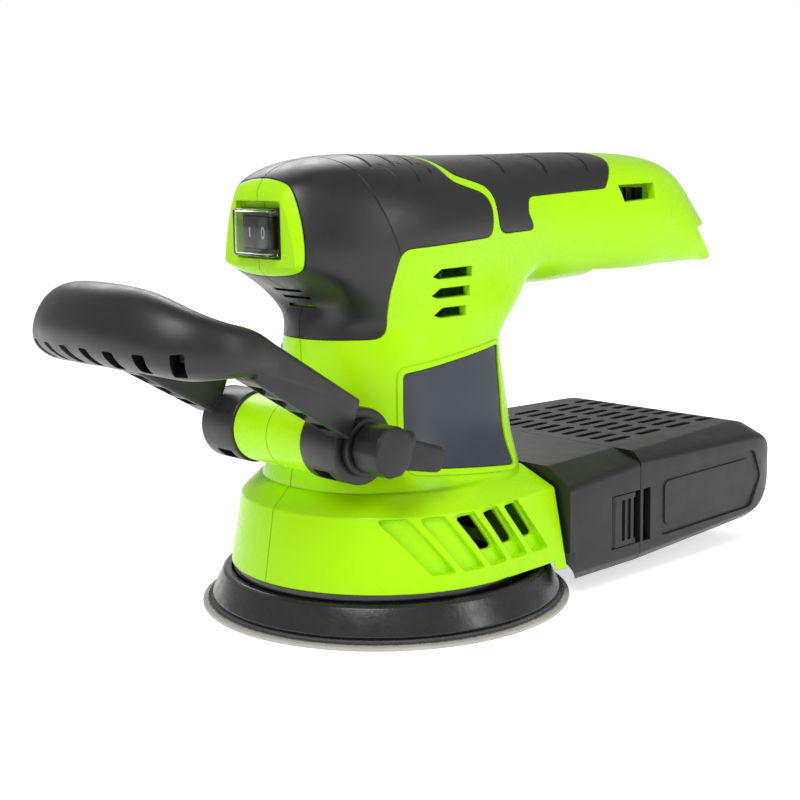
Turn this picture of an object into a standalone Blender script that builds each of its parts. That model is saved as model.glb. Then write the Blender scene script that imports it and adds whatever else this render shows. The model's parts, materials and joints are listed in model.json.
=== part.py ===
"""A cordless random-orbit sander with a front handle and a dust box, piece by piece.

The frame is +Z up, with the origin at the centre of the sanding disc's lower face. The switch and
the front handle look towards -X, the grip and the dust box towards +X. Lengths are in metres.
"""

import math
from collections import namedtuple

import bmesh
import bpy
from mathutils import Matrix, Vector

# ---------------------------------------------------------------- driving dimensions
GAP = 0.0003             # between pieces that touch or run in each other
SEAM = 0.0003            # between the two halves of the housing
WALL = 0.0030            # housing wall
BOX_WALL = 0.0024        # dust box wall
GRIP_SKIN = 0.0014       # thickness of the soft grips

# sanding pad
DISC_RADIUS = 0.0614
DISC_THICKNESS = 0.0012
HOOK_RADIUS = 0.0588
HOOK_THICKNESS = 0.0006
PAD_RADIUS = 0.0582      # at the pad's lower edge
PAD_RIM_RADIUS = 0.0545
PAD_RIM_Z = 0.0120
PAD_LIP = 0.0030         # width of the rim around the dished top
PAD_DISH_Z = 0.0078
PAD_HUB_RADIUS = 0.0190
HOLE_CIRCLE = 0.0325
HOLE_RADIUS = 0.0050
HOLE_COUNT = 8
PAD_RECESS_RADIUS = 0.0062
PAD_RECESS_DEPTH = 0.0028

# drive
ORBIT = 0.00125          # offset of the pad's axis from the motor's axis
SHAFT_RADIUS = 0.0030
SHAFT_LOW = 0.0300
MOTOR_RADIUS = 0.0210
MOTOR_WALL = 0.0012
MOTOR_LOW = 0.0600
MOTOR_HEIGHT = 0.0480
MAGNET_THICKNESS = 0.0040
ARMATURE_GAP = 0.0007
PAD_BEARING_HEIGHT = 0.0065
PAD_SCREW_RADIUS = 0.0024
ARMATURE_SLOTS = 9
BELL_HEIGHT = 0.0090
BEARING_OUTER = 0.0110
BEARING_HEIGHT = 0.0070
PLATE_RADIUS = 0.0250
PLATE_THICKNESS = 0.0030
FAN_RADIUS = 0.0290
FAN_LOW = 0.0390
FAN_HEIGHT = 0.0090
FAN_BLADES = 10
ECCENTRIC_RADIUS = 0.0150
ECCENTRIC_LOW = 0.0240
SPIGOT_RADIUS = 0.0038

# housing
NOSE_X = -0.0500
NECK_FRONT_X = -0.0345
NECK_REAR_X = 0.0395
HANDLE_END_X = 0.1520
HEAD_TOP_Z = 0.1465
HANDLE_TOP_Z = 0.1452
HANDLE_BOTTOM_Z = 0.0998
BEZEL_LOW_Z = 0.1130
BEZEL_HIGH_Z = 0.1362
BEZEL_HALF_WIDTH = 0.0150
BEZEL_DEPTH = 0.0028
HEAD_HALF_WIDTH = 0.0315
NECK_HALF_WIDTH = 0.0282
HANDLE_HALF_WIDTH = 0.0240
BAY_HALF_WIDTH = 0.0262
SKIRT_RADIUS = 0.0524
SKIRT_LOW_Z = 0.0145
SKIRT_REAR_X = 0.0350
SKIRT_REAR_LOW_Z = 0.0110
SHOULDER_Z = 0.0374
DECK_Z = 0.0434
SHOULDER_RADIUS = 0.0474
DECK_RADIUS = 0.0410
SKIRT_REAR_HALF_WIDTH = 0.0502
VENT_COUNT = 5
VENT_BLIND = 2
VENT_RIB = 0.0026
VENT_DEPTH = 0.0016
PORT_HALF_WIDTH = 0.0160
PORT_LOW_Z = 0.0180
PORT_HIGH_Z = 0.0310
SEAL_RADIUS = 0.0497
SEAL_LOW_Z = 0.0100

# pivot of the front handle
PIVOT_X = -0.0384
PIVOT_Z = 0.0604
BOSS_RADIUS = 0.0110
BOSS_HALF_LENGTH = 0.0165
BOLT_RADIUS = 0.0040
HUB_RADIUS = 0.0118
HUB_END_Y = 0.0330
ARM_OUTLINE = ((0.0040, 0.0152), (0.0088, 0.0036), (0.0470, 0.0262), (0.0400, 0.0368))
ARM_HOLLOW = ((0.0110, 0.0140), (0.0160, 0.0040), (0.0460, 0.0222), (0.0400, 0.0318))
ARM_INNER_Y = 0.0272
ARM_OUTER_Y = 0.0374
ARM_FOOT = 0.0060        # distance in front of the pivot where the arms start to spread
ARM_SPREAD = 0.10        # sideways per length forwards
ARM_WALL = 0.0018
ARM_RIBS = 4
ARM_RIB_START = 0.0170
ARM_RIB_PITCH = 0.0070
WASHER_RADIUS = 0.0090
WASHER_THICKNESS = 0.0024
KNOB_RADIUS = 0.0080
KNOB_LENGTH = 0.0110
WING_LENGTH = 0.0235
WING_DROOP = math.radians(16.0)
GRIP_POCKETS = 8
POCKET_HALF_SPAN = 0.0340
POCKET_FRONT_U = 0.0745
POCKET_SWEEP = 0.0090
POCKET_V = 0.0330

# dust box
BOX_FRONT_X = 0.0364
BOX_SPLIT_X = 0.0730
BOX_REAR_X = 0.1545
BOX_HALF_WIDTH = 0.0500
BOX_TOP_HALF_WIDTH = 0.0385
CANISTER_TOP_HALF_WIDTH = 0.0465   # of the canister's top at the joint
FRAME_TOP_HALF_WIDTH = 0.0380      # of the frame's top at the joint
BOX_TOP_Z = 0.0440
BOX_SIDE_TOP_Z = 0.0405
BOX_LOW_Z = 0.0055
BOX_LIP = 0.0060         # length of the rim that the canister has inside the frame
LATCH_HEIGHT = 0.0178
LATCH_Z = 0.0218
LATCH_THICKNESS = 0.0022
LATCH_HINGE_X = 0.0600
LATCH_SINK = 0.0022
LATCH_PIN = 0.0009
PANEL_DEPTH = 0.0009
PAD_CLEARANCE = 0.0632
BOX_ARCH_Z = 0.0155
FILTER_PLEATS = 12
SLOT_ROWS = 4
SLOT_COLUMNS = 10
SLOT_LENGTH = 0.0138
SLOT_WIDTH = 0.0032
SLOT_PITCH_X = 0.0178
SLOT_PITCH_Y = 0.0066

# switch, board and battery bay
SWITCH_LOW = 0.1172
SWITCH_HIGH = 0.1302
SWITCH_HALF_WIDTH = 0.0085
SWITCH_RECESS = 0.0028
SWITCH_DEPTH = 0.0190
SWITCH_WEB = 0.0026
BOOT_FRONT_X = -0.0532
BOOT_WALL = 0.0009
ROCKER_HALF_WIDTH = 0.0070
ROCKER_TILT = math.radians(8.0)
ROCKER_PIN = 0.0010
BOARD_X = 0.0440
BOARD_LENGTH = 0.0300
BOARD_Z = 0.1220
BOARD_THICKNESS = 0.0016
BAY_FRONT_X = 0.0860
BAY_TOP_Z = 0.1230
BAY_HALF_OPENING = 0.0175
MOUNT_HALF_WIDTH = 0.0190
COMB_HALF_WIDTH = 0.0168
COMB_TOP_Z = 0.1320
MOUNT_THICKNESS = 0.0042
LEAD_RADIUS = 0.0011
MOUNT_GROOVES = 4

# screws that join the halves
SCREW_COLUMN = 0.0050
SCREW_SHANK = 0.0015
SCREW_HEAD = 0.0027
SCREW_HEAD_HEIGHT = 0.0020
SCREW_HEAD_Y = 0.0130
SCREW_LENGTH = 0.0230

ROTOR_X = -ORBIT
TAU = 2.0 * math.pi

Station = namedtuple("Station", "x low high half_width squareness taper")
Level = namedtuple("Level", "z front rear half_width squareness rear_squareness")


# ---------------------------------------------------------------- scene, collections, materials
for old in list(bpy.data.objects):
    bpy.data.objects.remove(old)


def new_collection(name, hidden=False):
    collection = bpy.data.collections.new(name)
    bpy.context.scene.collection.children.link(collection)
    collection.hide_render = hidden
    return collection


PARTS = new_collection("Random orbit sander")
CUTTERS = new_collection("Cutters", hidden=True)


def material(name, colour, roughness, metallic=0.0):
    made = bpy.data.materials.new(name)
    made.use_nodes = True
    shader = made.node_tree.nodes["Principled BSDF"]
    shader.inputs["Base Color"].default_value = (*colour, 1.0)
    shader.inputs["Roughness"].default_value = roughness
    shader.inputs["Metallic"].default_value = metallic
    return made


LIME = material("lime housing", (0.42, 0.87, 0.0), 0.32)
SOFT = material("soft charcoal", (0.035, 0.035, 0.037), 0.62)
DARK = material("dark nylon", (0.045, 0.045, 0.048), 0.48)
SLATE = material("slate plate", (0.065, 0.082, 0.105), 0.38)
CLEAR = material("clear boot", (0.85, 0.88, 0.88), 0.12)
BLACK = material("black plastic", (0.012, 0.012, 0.013), 0.35)
STEEL = material("steel", (0.55, 0.56, 0.58), 0.30, 1.0)
ZINC = material("zinc", (0.42, 0.43, 0.45), 0.38, 1.0)
COPPER = material("copper", (0.72, 0.34, 0.18), 0.35, 1.0)
FERRITE = material("ferrite", (0.05, 0.05, 0.055), 0.60)
RUBBER = material("rubber", (0.010, 0.010, 0.011), 0.25)
FOAM = material("pad polyurethane", (0.020, 0.019, 0.019), 0.45)
HOOKS = material("hook face", (0.10, 0.10, 0.10), 0.90)
VELOUR = material("disc velour", (0.62, 0.60, 0.57), 0.95)
WIRE_RED = material("red insulation", (0.55, 0.03, 0.02), 0.45)
BOARD = material("circuit board", (0.02, 0.18, 0.08), 0.45)
PAPER = material("filter paper", (0.72, 0.69, 0.60), 0.90)


# ---------------------------------------------------------------- helpers
SMOOTH_ANGLE = math.radians(32.0)


def add(name, bm, finish=None):
    """A named object from a bmesh: a part if it has a finish, a cutter if it has none."""
    mesh = bpy.data.meshes.new(name)
    bmesh.ops.recalc_face_normals(bm, faces=bm.faces)
    bm.to_mesh(mesh)
    bm.free()
    return place(bpy.data.objects.new(name, mesh), finish)


def place(obj, finish=None):
    if finish is None:
        CUTTERS.objects.link(obj)
        obj.hide_render = True
        obj.display_type = "WIRE"
        return obj
    PARTS.objects.link(obj)
    obj.data.materials.append(finish)
    if obj.type == "MESH":
        obj.data.shade_smooth()
        obj.data.set_sharp_from_angle(angle=SMOOTH_ANGLE)
    return obj


def copy_of(obj, name, finish=None):
    """A new object holding the source's mesh with its modifiers applied. The source keeps that mesh too."""
    bpy.context.view_layer.update()
    graph = bpy.context.evaluated_depsgraph_get()
    obj.data = bpy.data.meshes.new_from_object(obj.evaluated_get(graph))
    obj.modifiers.clear()
    mesh = obj.data.copy()
    mesh.materials.clear()
    mesh.name = name
    return place(bpy.data.objects.new(name, mesh), finish)


def boolean(obj, tools, operation):
    """One exact Boolean with every tool at once: several tools go through a collection of their own."""
    modifier = obj.modifiers.new(operation.title(), "BOOLEAN")
    modifier.operation = operation
    modifier.solver = "EXACT"
    if len(tools) == 1:
        modifier.object = tools[0]
        return obj
    group = bpy.data.collections.new(f"{obj.name} {operation.lower()}")
    CUTTERS.children.link(group)
    group.hide_render = True
    for tool in tools:
        group.objects.link(tool)
    modifier.operand_type = "COLLECTION"
    modifier.collection = group
    return obj


def cut(obj, *tools):
    return boolean(obj, tools, "DIFFERENCE")


def join(obj, *tools):
    return boolean(obj, tools, "UNION")


def keep(obj, tool):
    return boolean(obj, (tool,), "INTERSECT")


def box(name, low, high, finish=None, bevel=0.0):
    bm = bmesh.new()
    size = [h - l for l, h in zip(low, high)]
    centre = [(h + l) / 2.0 for l, h in zip(low, high)]
    scale = Matrix.Diagonal((*size, 1.0))
    bmesh.ops.create_cube(bm, size=1.0, matrix=Matrix.Translation(centre) @ scale)
    made = add(name, bm, finish)
    if bevel:
        edge = made.modifiers.new("Edges", "BEVEL")
        edge.width = bevel
        edge.segments = 1
    return made


def cylinder(name, radius, start, end, finish=None, segments=24, end_radius=None):
    """A cylinder or cone between two points."""
    start = Vector(start)
    along = Vector(end) - start
    turn = along.to_track_quat("Z", "Y").to_matrix().to_4x4()
    bm = bmesh.new()
    bmesh.ops.create_cone(
        bm, cap_ends=True, segments=segments, depth=along.length,
        radius1=radius, radius2=radius if end_radius is None else end_radius,
        matrix=Matrix.Translation(start + along / 2.0) @ turn,
    )
    return add(name, bm, finish)


def turned(name, profile, finish=None, centre=(0.0, 0.0), steps=48):
    """A ring or a disc turned about the vertical line through centre, from (radius, z) points."""
    bm = bmesh.new()
    points = [bm.verts.new((max(radius, 0.0), 0.0, z)) for radius, z in profile]
    closed = points + points[:1]
    for first, second in zip(closed, closed[1:]):
        if first.co.x > 0.0 or second.co.x > 0.0:
            bm.edges.new((first, second))
    bmesh.ops.spin(
        bm, geom=bm.verts[:] + bm.edges[:], axis=(0.0, 0.0, 1.0), cent=(0.0, 0.0, 0.0),
        steps=steps, angle=TAU, use_duplicate=False,
    )
    bmesh.ops.remove_doubles(bm, verts=bm.verts, dist=1e-6)
    bmesh.ops.translate(bm, verts=bm.verts, vec=(centre[0], centre[1], 0.0))
    return add(name, bm, finish)


def rounded(corners, steps=3):
    """The outline through (a, b, radius) corners, each radius as an arc of a few points."""
    points = []
    count = len(corners)
    for index, (a, b, radius) in enumerate(corners):
        here = Vector((a, b))
        before = Vector(corners[index - 1][:2]) - here
        after = Vector(corners[(index + 1) % count][:2]) - here
        if radius <= 0.0:
            points.append(here)
            continue
        half = before.angle(after) / 2.0
        reach = radius / math.tan(half)
        start = here + before.normalized() * reach
        end = here + after.normalized() * reach
        centre = here + (before.normalized() + after.normalized()).normalized() * radius / math.sin(half)
        for step in range(steps + 1):
            share = step / steps
            arm = (start - centre).lerp(end - centre, share)
            points.append(centre + arm.normalized() * radius)
    return points


def prism(name, outline, low, high, axis="Y", finish=None):
    """A flat outline extruded along an axis: (x, z) along Y, (y, z) along X, (x, y) along Z."""
    order = {"Y": lambda a, b, c: (a, c, b), "X": lambda a, b, c: (c, a, b), "Z": lambda a, b, c: (a, b, c)}
    bm = bmesh.new()
    verts = [bm.verts.new(order[axis](a, b, low)) for a, b in outline]
    face = bm.faces.new(verts)
    pushed = bmesh.ops.extrude_face_region(bm, geom=[face])["geom"]
    shift = order[axis](0.0, 0.0, high - low)
    bmesh.ops.translate(bm, vec=shift, verts=[v for v in pushed if isinstance(v, bmesh.types.BMVert)])
    return add(name, bm, finish)


def power(value, exponent):
    return math.copysign(abs(value) ** exponent, value)


def settle(bm, rounds=6):
    """Moves a quad cage outwards so that its subdivision surface runs through the cage's first points."""
    crease = bm.edges.layers.float.get("crease_edge")
    bm.verts.ensure_lookup_table()
    wanted = [v.co.copy() for v in bm.verts]
    for _ in range(rounds):
        limits = [limit_point(v, crease) for v in bm.verts]
        for vert, target, limit in zip(bm.verts, wanted, limits):
            vert.co += target - limit


def limit_point(vert, crease):
    """Where a Catmull-Clark surface places this vertex in the end."""
    sharp = [e for e in vert.link_edges if crease and e[crease] > 0.5]
    if len(sharp) == 2:
        return (4.0 * vert.co + sum((e.other_vert(vert).co for e in sharp), Vector())) / 6.0
    if len(sharp) > 2:
        return vert.co.copy()
    n = len(vert.link_edges)
    edges = sum((e.other_vert(vert).co for e in vert.link_edges), Vector())
    corners = Vector()
    for face in vert.link_faces:
        others = [v.co for v in face.verts if v is not vert and not
                  any(v in e.verts for e in vert.link_edges)]
        corners += sum(others, Vector()) / len(others)
    return (n * n * vert.co + 4.0 * edges + corners) / (n * (n + 5))


def subdivide(obj, levels=1):
    if not levels:
        return obj
    smooth = obj.modifiers.new("Smooth", "SUBSURF")
    smooth.levels = levels
    smooth.render_levels = levels
    return obj


def bridge(bm, first, second):
    """Quads between two closed rings of equal count."""
    count = len(first)
    for k in range(count):
        after = (k + 1) % count
        bm.faces.new((first[k], first[after], second[after], second[k]))


# ---------------------------------------------------------------- the housing's outer form
BARREL_RING = 12
TOWER_RING = 16

BARREL = (
    Station(NOSE_X, BEZEL_LOW_Z, BEZEL_HIGH_Z, BEZEL_HALF_WIDTH, 5.0, 0.24),
    Station(NOSE_X + 0.0045, BEZEL_LOW_Z - 0.0040, HEAD_TOP_Z - 0.0050, 0.0198, 3.0, 0.17),
    Station(NECK_FRONT_X, HANDLE_BOTTOM_Z + 0.0020, HEAD_TOP_Z - 0.0014, 0.0260, 2.6, 0.12),
    Station(-0.0180, HANDLE_BOTTOM_Z, HEAD_TOP_Z, HEAD_HALF_WIDTH - 0.0007, 2.35, 0.06),
    Station(0.0010, HANDLE_BOTTOM_Z, HEAD_TOP_Z - 0.0004, HEAD_HALF_WIDTH, 2.35, 0.06),
    Station(0.0220, HANDLE_BOTTOM_Z, HANDLE_TOP_Z + 0.0002, HEAD_HALF_WIDTH - 0.0025, 2.4, 0.04),
    Station(0.0500, HANDLE_BOTTOM_Z + 0.0002, HANDLE_TOP_Z, HANDLE_HALF_WIDTH + 0.0012, 2.5, 0.0),
    Station(0.0660, HANDLE_BOTTOM_Z, HANDLE_TOP_Z, HANDLE_HALF_WIDTH, 2.6, 0.0),
    Station(0.0860, HANDLE_BOTTOM_Z + 0.0003, HANDLE_TOP_Z, HANDLE_HALF_WIDTH, 2.7, 0.0),
    Station(0.1080, HANDLE_BOTTOM_Z + 0.0008, HANDLE_TOP_Z - 0.0007, BAY_HALF_WIDTH - 0.0008, 2.9, 0.02),
    Station(0.1240, HANDLE_BOTTOM_Z + 0.0012, HANDLE_TOP_Z - 0.0022, BAY_HALF_WIDTH - 0.0016, 2.8, 0.08),
    Station(0.1360, HANDLE_BOTTOM_Z + 0.0016, HANDLE_TOP_Z - 0.0062, BAY_HALF_WIDTH - 0.0032, 2.8, 0.20),
    Station(0.1450, HANDLE_BOTTOM_Z + 0.0018, HANDLE_TOP_Z - 0.0125, BAY_HALF_WIDTH - 0.0052, 2.8, 0.30),
    Station(HANDLE_END_X, HANDLE_BOTTOM_Z + 0.0020, HANDLE_TOP_Z - 0.0210, BAY_HALF_WIDTH - 0.0060, 3.2,
        0.34),
)
NECK_STATIONS = (2, 6)   # the barrel's stations at the front and the rear of the neck

TOWER = (
    Level(0.0965, NECK_FRONT_X - 0.0002, NECK_REAR_X + 0.0095, NECK_HALF_WIDTH, 2.2, 3.0),
    Level(0.0860, NECK_FRONT_X, NECK_REAR_X, NECK_HALF_WIDTH, 2.2, 3.2),
    Level(0.0700, NECK_FRONT_X - 0.0005, NECK_REAR_X + 0.0010, NECK_HALF_WIDTH + 0.0012, 2.2, 3.2),
    Level(0.0540, NECK_FRONT_X - 0.0035, NECK_REAR_X + 0.0025, NECK_HALF_WIDTH + 0.0035, 2.2, 3.2),
    Level(DECK_Z, NECK_FRONT_X - 0.0058, NECK_REAR_X + 0.0025, NECK_HALF_WIDTH + 0.0095, 2.2, 3.0),
    Level(0.0330, NECK_FRONT_X - 0.0058, NECK_REAR_X + 0.0025, NECK_HALF_WIDTH + 0.0095, 2.2, 3.0),
)


def barrel_points(station, inset):
    low, high = station.low + inset, station.high - inset
    half_width = station.half_width - inset
    middle, half = (low + high) / 2.0, (high - low) / 2.0
    ends = {BARREL[0]: inset, BARREL[-1]: -inset}
    neck = {BARREL[NECK_STATIONS[0]]: inset, BARREL[NECK_STATIONS[1]]: -inset}
    points = []
    for k in range(BARREL_RING):
        angle = TAU * k / BARREL_RING
        rise = power(math.cos(angle), 2.0 / station.squareness)
        side = power(math.sin(angle), 2.0 / station.squareness)
        x = station.x + ends.get(station, 0.0) + (neck.get(station, 0.0) if rise < 0.0 else 0.0)
        points.append((x, half_width * side * (1.0 - station.taper * rise), middle + half * rise))
    return points


def tower_points(level, inset):
    front, rear = level.front + inset, level.rear - inset
    half_width = level.half_width - inset
    middle, half = (front + rear) / 2.0, (rear - front) / 2.0
    points = []
    for k in range(TOWER_RING):
        angle = TAU * k / TOWER_RING
        squareness = level.rear_squareness if math.cos(angle) > 0.0 else level.squareness
        along = power(math.cos(angle), 2.0 / squareness)
        side = power(math.sin(angle), 2.0 / squareness)
        points.append((middle + half * along, half_width * side, level.z))
    return points


def neck_loop(rings):
    """The barrel's vertices around the neck's opening, in the order of a tower ring."""
    front, rear = NECK_STATIONS
    stations = range(rear - 1, front, -1)
    loop = [rings[rear][6], rings[rear][5], rings[rear][4]]
    loop += [rings[i][4] for i in stations]
    loop += [rings[front][k] for k in (4, 5, 6, 7, 8)]
    loop += [rings[i][8] for i in reversed(stations)]
    return loop + [rings[rear][8], rings[rear][7]]


def body_form(name, inset, levels=1):
    """The head, the grip and the neck as one smooth closed form, set in by an even amount."""
    bm = bmesh.new()
    crease = bm.edges.layers.float.new("crease_edge")
    rings = [[bm.verts.new(p) for p in barrel_points(s, inset)] for s in BARREL]
    front, rear = NECK_STATIONS
    for index, (first, second) in enumerate(zip(rings, rings[1:])):
        for k in range(BARREL_RING):
            if front <= index < rear and 4 <= k < 8:
                continue
            after = (k + 1) % BARREL_RING
            bm.faces.new((first[k], second[k], second[after], first[after]))
    for ring in (rings[0], rings[-1]):
        bm.faces.new(ring)
    above = neck_loop(rings)
    bmesh.ops.delete(bm, geom=[v for v in bm.verts if not v.link_faces], context="VERTS")
    for level in TOWER:
        below = [bm.verts.new(p) for p in tower_points(level, inset)]
        bridge(bm, above, below)
        above = below
    bm.faces.new(above)
    for ring in (rings[0], rings[-1], above):
        for first, second in zip(ring, ring[1:] + ring[:1]):
            bm.edges.get((first, second))[crease] = 1.0
    if levels:
        settle(bm)
    form = subdivide(add(name, bm), levels)
    form.modifiers.new("Flat faces", "TRIANGULATE")
    return form


def skirt_outline(radius, rear_half_width, rear_x, steps=24):
    """A half circle in front, straight sides behind it: (x, y) points, counterclockwise from above."""
    points = [(rear_x, rear_half_width)]
    for step in range(steps + 1):
        angle = math.pi / 2.0 + math.pi * step / steps
        points.append((radius * math.cos(angle), radius * math.sin(angle)))
    return points + [(rear_x, -rear_half_width)]


def skirt_form(name, inset, low):
    """The skirt's loft: a wall that leans in, a chamfered shoulder and the deck."""
    rear_x = SKIRT_REAR_X - inset
    shoulder_rear = SKIRT_REAR_HALF_WIDTH - 0.0060
    deck_rear = SKIRT_REAR_HALF_WIDTH - 0.0210
    drop = inset * 0.6
    sections = (
        (low, SKIRT_RADIUS, SKIRT_REAR_HALF_WIDTH),
        (SHOULDER_Z - drop, SHOULDER_RADIUS, shoulder_rear),
        (DECK_Z - inset, DECK_RADIUS, deck_rear),
    )
    bm = bmesh.new()
    rings = []
    for z, radius, rear_half_width in sections:
        outline = skirt_outline(radius - inset, rear_half_width - inset, rear_x)
        rings.append([bm.verts.new((x, y, z)) for x, y in outline])
    for first, second in zip(rings, rings[1:]):
        bridge(bm, first, second)
    bm.faces.new(rings[0])
    bm.faces.new(rings[-1])
    form = add(name, bm)
    form.modifiers.new("Flat faces", "TRIANGULATE")
    return form


# ---------------------------------------------------------------- housing shells and soft grips
def head_grip_outline(grow=0.0):
    """The side outline of the soft cover over the head."""
    rear = 0.0255 + grow
    return rounded([
        (NOSE_X - 0.0100, 0.0900 - grow, 0.0),
        (-0.0205 + grow, 0.0900 - grow, 0.0050),
        (-0.0190 + grow, 0.1180 - grow, 0.0060),
        (rear - 0.0010, 0.1195 - grow, 0.0045),
        (rear, 0.1310, 0.0060),
        (0.0160 + grow, HEAD_TOP_Z - 0.0005, 0.0),
        (0.0150 + grow, HEAD_TOP_Z + 0.0100, 0.0),
        (NOSE_X - 0.0100, HEAD_TOP_Z + 0.0100, 0.0),
    ])


def handle_grip_outline(grow=0.0):
    """The side outline of the soft cover on the grip, with its tab in front."""
    return rounded([
        (0.0190 - grow, HANDLE_TOP_Z + 0.0100, 0.0),
        (0.0200 - grow, HANDLE_TOP_Z - 0.0004, 0.0),
        (0.0290 - grow, 0.1355, 0.0060),
        (0.0305 - grow, 0.1215 - grow, 0.0035),
        (0.0475 + grow, 0.1225 - grow, 0.0030),
        (0.0440 + grow, 0.1312 - grow, 0.0025),
        (0.0850 + grow, 0.1328 - grow, 0.0040),
        (0.1060 + grow, HANDLE_TOP_Z - 0.0004, 0.0),
        (0.1070 + grow, HANDLE_TOP_Z + 0.0100, 0.0),
    ])


def inlay_skin(name, outside, inside, bezel_depth):
    """The layer between two insets of the body form, open in front where the bezel stays bare."""
    skin = copy_of(body_form(name + " outer form", outside, levels=0 if outside else 1), name + " solid")
    bezel = box(name + " bezel", (NOSE_X - 0.01, -0.06, 0.08), (NOSE_X + bezel_depth, 0.06, 0.16))
    return copy_of(cut(skin, body_form(name + " inner form", inside, levels=0), bezel), name)


def inlay(name, outline, skin, side, finish):
    """The part of a skin of the body form that lies inside an outline, on one side."""
    piece = copy_of(skin, name + " blank")
    reach = (SEAM / 2.0, 0.06) if side > 0 else (-0.06, -SEAM / 2.0)
    return copy_of(keep(piece, prism(name + " outline", outline, *reach)), name, finish)


def screw_places():
    """(x, z) of the screws that join the two halves."""
    return (
        (NECK_FRONT_X + 0.0065, 0.0850),
        (NECK_REAR_X - 0.0070, 0.0880),
        (NECK_REAR_X - 0.0055, 0.0620),
        (NECK_REAR_X - 0.0100, 0.1115),
        (HANDLE_END_X - 0.0920, 0.1105),
        (BAY_FRONT_X - 0.0070, 0.1100),
    )


def plate_low():
    return MOTOR_LOW - GAP - PLATE_THICKNESS


def bell_top():
    return MOTOR_LOW + MOTOR_HEIGHT + GAP + BELL_HEIGHT


def hub_rooms(grow=0.0):
    """The round pockets in the neck where the front handle's hubs turn."""
    rooms = []
    for side in (-1.0, 1.0):
        start, end = (PIVOT_X, side * (BOSS_HALF_LENGTH - grow), PIVOT_Z), (PIVOT_X, side * 0.06, PIVOT_Z)
        rooms.append(cylinder(f"Hub room {side:+.0f}", HUB_RADIUS + 0.0008 + grow, start, end, segments=20))
    return rooms


def housing_cavity(boss):
    """The hollow inside the housing, with the ribs, seats and screw columns already left standing."""
    cavity = copy_of(body_form("Body inner form", WALL, levels=0), "Cavity")
    join(cavity, skirt_form("Skirt inner form", WALL, 0.0050))
    rib = 0.0022
    seat = box("Plate seat", (-0.06, -0.06, plate_low() - GAP - rib), (0.06, 0.06, plate_low() - GAP))
    cut(seat, cylinder("Plate seat bore", PLATE_RADIUS - 0.0015, (ROTOR_X, 0, 0.04), (ROTOR_X, 0, 0.07)))
    crown = box(
        "Bell seat", (ROTOR_X - 0.013, -0.04, bell_top() + GAP),
            (ROTOR_X + 0.013, 0.04, bell_top() + GAP + rib))
    cut(crown, cylinder("Bell seat bore", BEARING_OUTER - 0.0010, (ROTOR_X, 0, 0.10), (ROTOR_X, 0, 0.13)))
    web = box("Switch web", (NOSE_X, -0.04, SWITCH_LOW - 0.012),
        (NOSE_X + SWITCH_RECESS + SWITCH_WEB, 0.04, 0.16))
    board_ribs = [
        box(f"Board rib {n}", (x, -0.04, 0.09), (x + rib, 0.04, BOARD_Z - GAP))
        for n, x in enumerate((BOARD_X + 0.0030, BOARD_X + BOARD_LENGTH - 0.0050))
    ]
    shelf_top = BAY_TOP_Z - MOUNT_THICKNESS - 2.0 * GAP
    shelf = box("Bay shelf", (BAY_FRONT_X + 0.003, -0.04, shelf_top - rib),
        (HANDLE_END_X - 0.008, 0.04, shelf_top))
    hub_walls = hub_rooms(WALL)
    columns = [
        cylinder(f"Screw column {number}", SCREW_COLUMN, (x, -0.06, z), (x, 0.06, z), segments=10)
        for number, (x, z) in enumerate(screw_places(), 1)
    ]
    return cut(cavity, seat, crown, web, shelf, boss, *hub_walls, *board_ribs, *columns)


def housing_cutters():
    """Everything that is cut out of both halves from outside."""
    port = box("Dust port", (0.0280, -PORT_HALF_WIDTH, PORT_LOW_Z), (0.0400, PORT_HALF_WIDTH, PORT_HIGH_Z))
    bore = cylinder("Pivot bore", BOLT_RADIUS + GAP, (PIVOT_X, -0.05, PIVOT_Z), (PIVOT_X, 0.05, PIVOT_Z))
    recess = box(
        "Bezel recess", (NOSE_X - 0.01, -SWITCH_HALF_WIDTH - 0.0022, SWITCH_LOW - 0.0014),
        (NOSE_X + SWITCH_RECESS, SWITCH_HALF_WIDTH + 0.0022, SWITCH_HIGH + 0.0030))
    window = box(
        "Switch window", (NOSE_X - 0.01, -SWITCH_HALF_WIDTH - GAP, SWITCH_LOW - GAP),
        (NOSE_X + 0.02, SWITCH_HALF_WIDTH + GAP, SWITCH_HIGH + GAP))
    ledge = box(
        "Dust box room", (SKIRT_REAR_X, -0.07, -0.01), (0.07, 0.07, BOX_TOP_Z + 0.0008))
    slant = SKIRT_LOW_Z - SKIRT_REAR_LOW_Z
    hem = prism("Hem trim", [
        (-0.07, -0.01), (0.06, -0.01), (0.06, SKIRT_REAR_LOW_Z - slant * 0.8),
        (SKIRT_REAR_X, SKIRT_REAR_LOW_Z), (0.0050, SKIRT_LOW_Z), (-0.07, SKIRT_LOW_Z)], -0.07, 0.07)
    pad_room = cylinder("Pad room", PAD_RIM_RADIUS + 0.0030, (0, 0, -0.01), (0, 0, SKIRT_LOW_Z - 0.0002),
        segments=48)
    rear = prism("Handle end trim", [
        (0.1560, 0.160), (0.1530, 0.1275), (0.1485, 0.1172), (0.1408, 0.1163),
        (0.1503, 0.1043), (0.1490, 0.095), (0.180, 0.095), (0.180, 0.160)], -0.05, 0.05)
    bay = prism("Battery bay", [
        (BAY_FRONT_X, 0.095), (0.180, 0.095), (0.180, BAY_TOP_Z), (BAY_FRONT_X, BAY_TOP_Z)],
        -BAY_HALF_OPENING, BAY_HALF_OPENING)
    return [port, bore, recess, window, ledge, hem, pad_room, rear, bay, *hub_rooms()]


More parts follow.
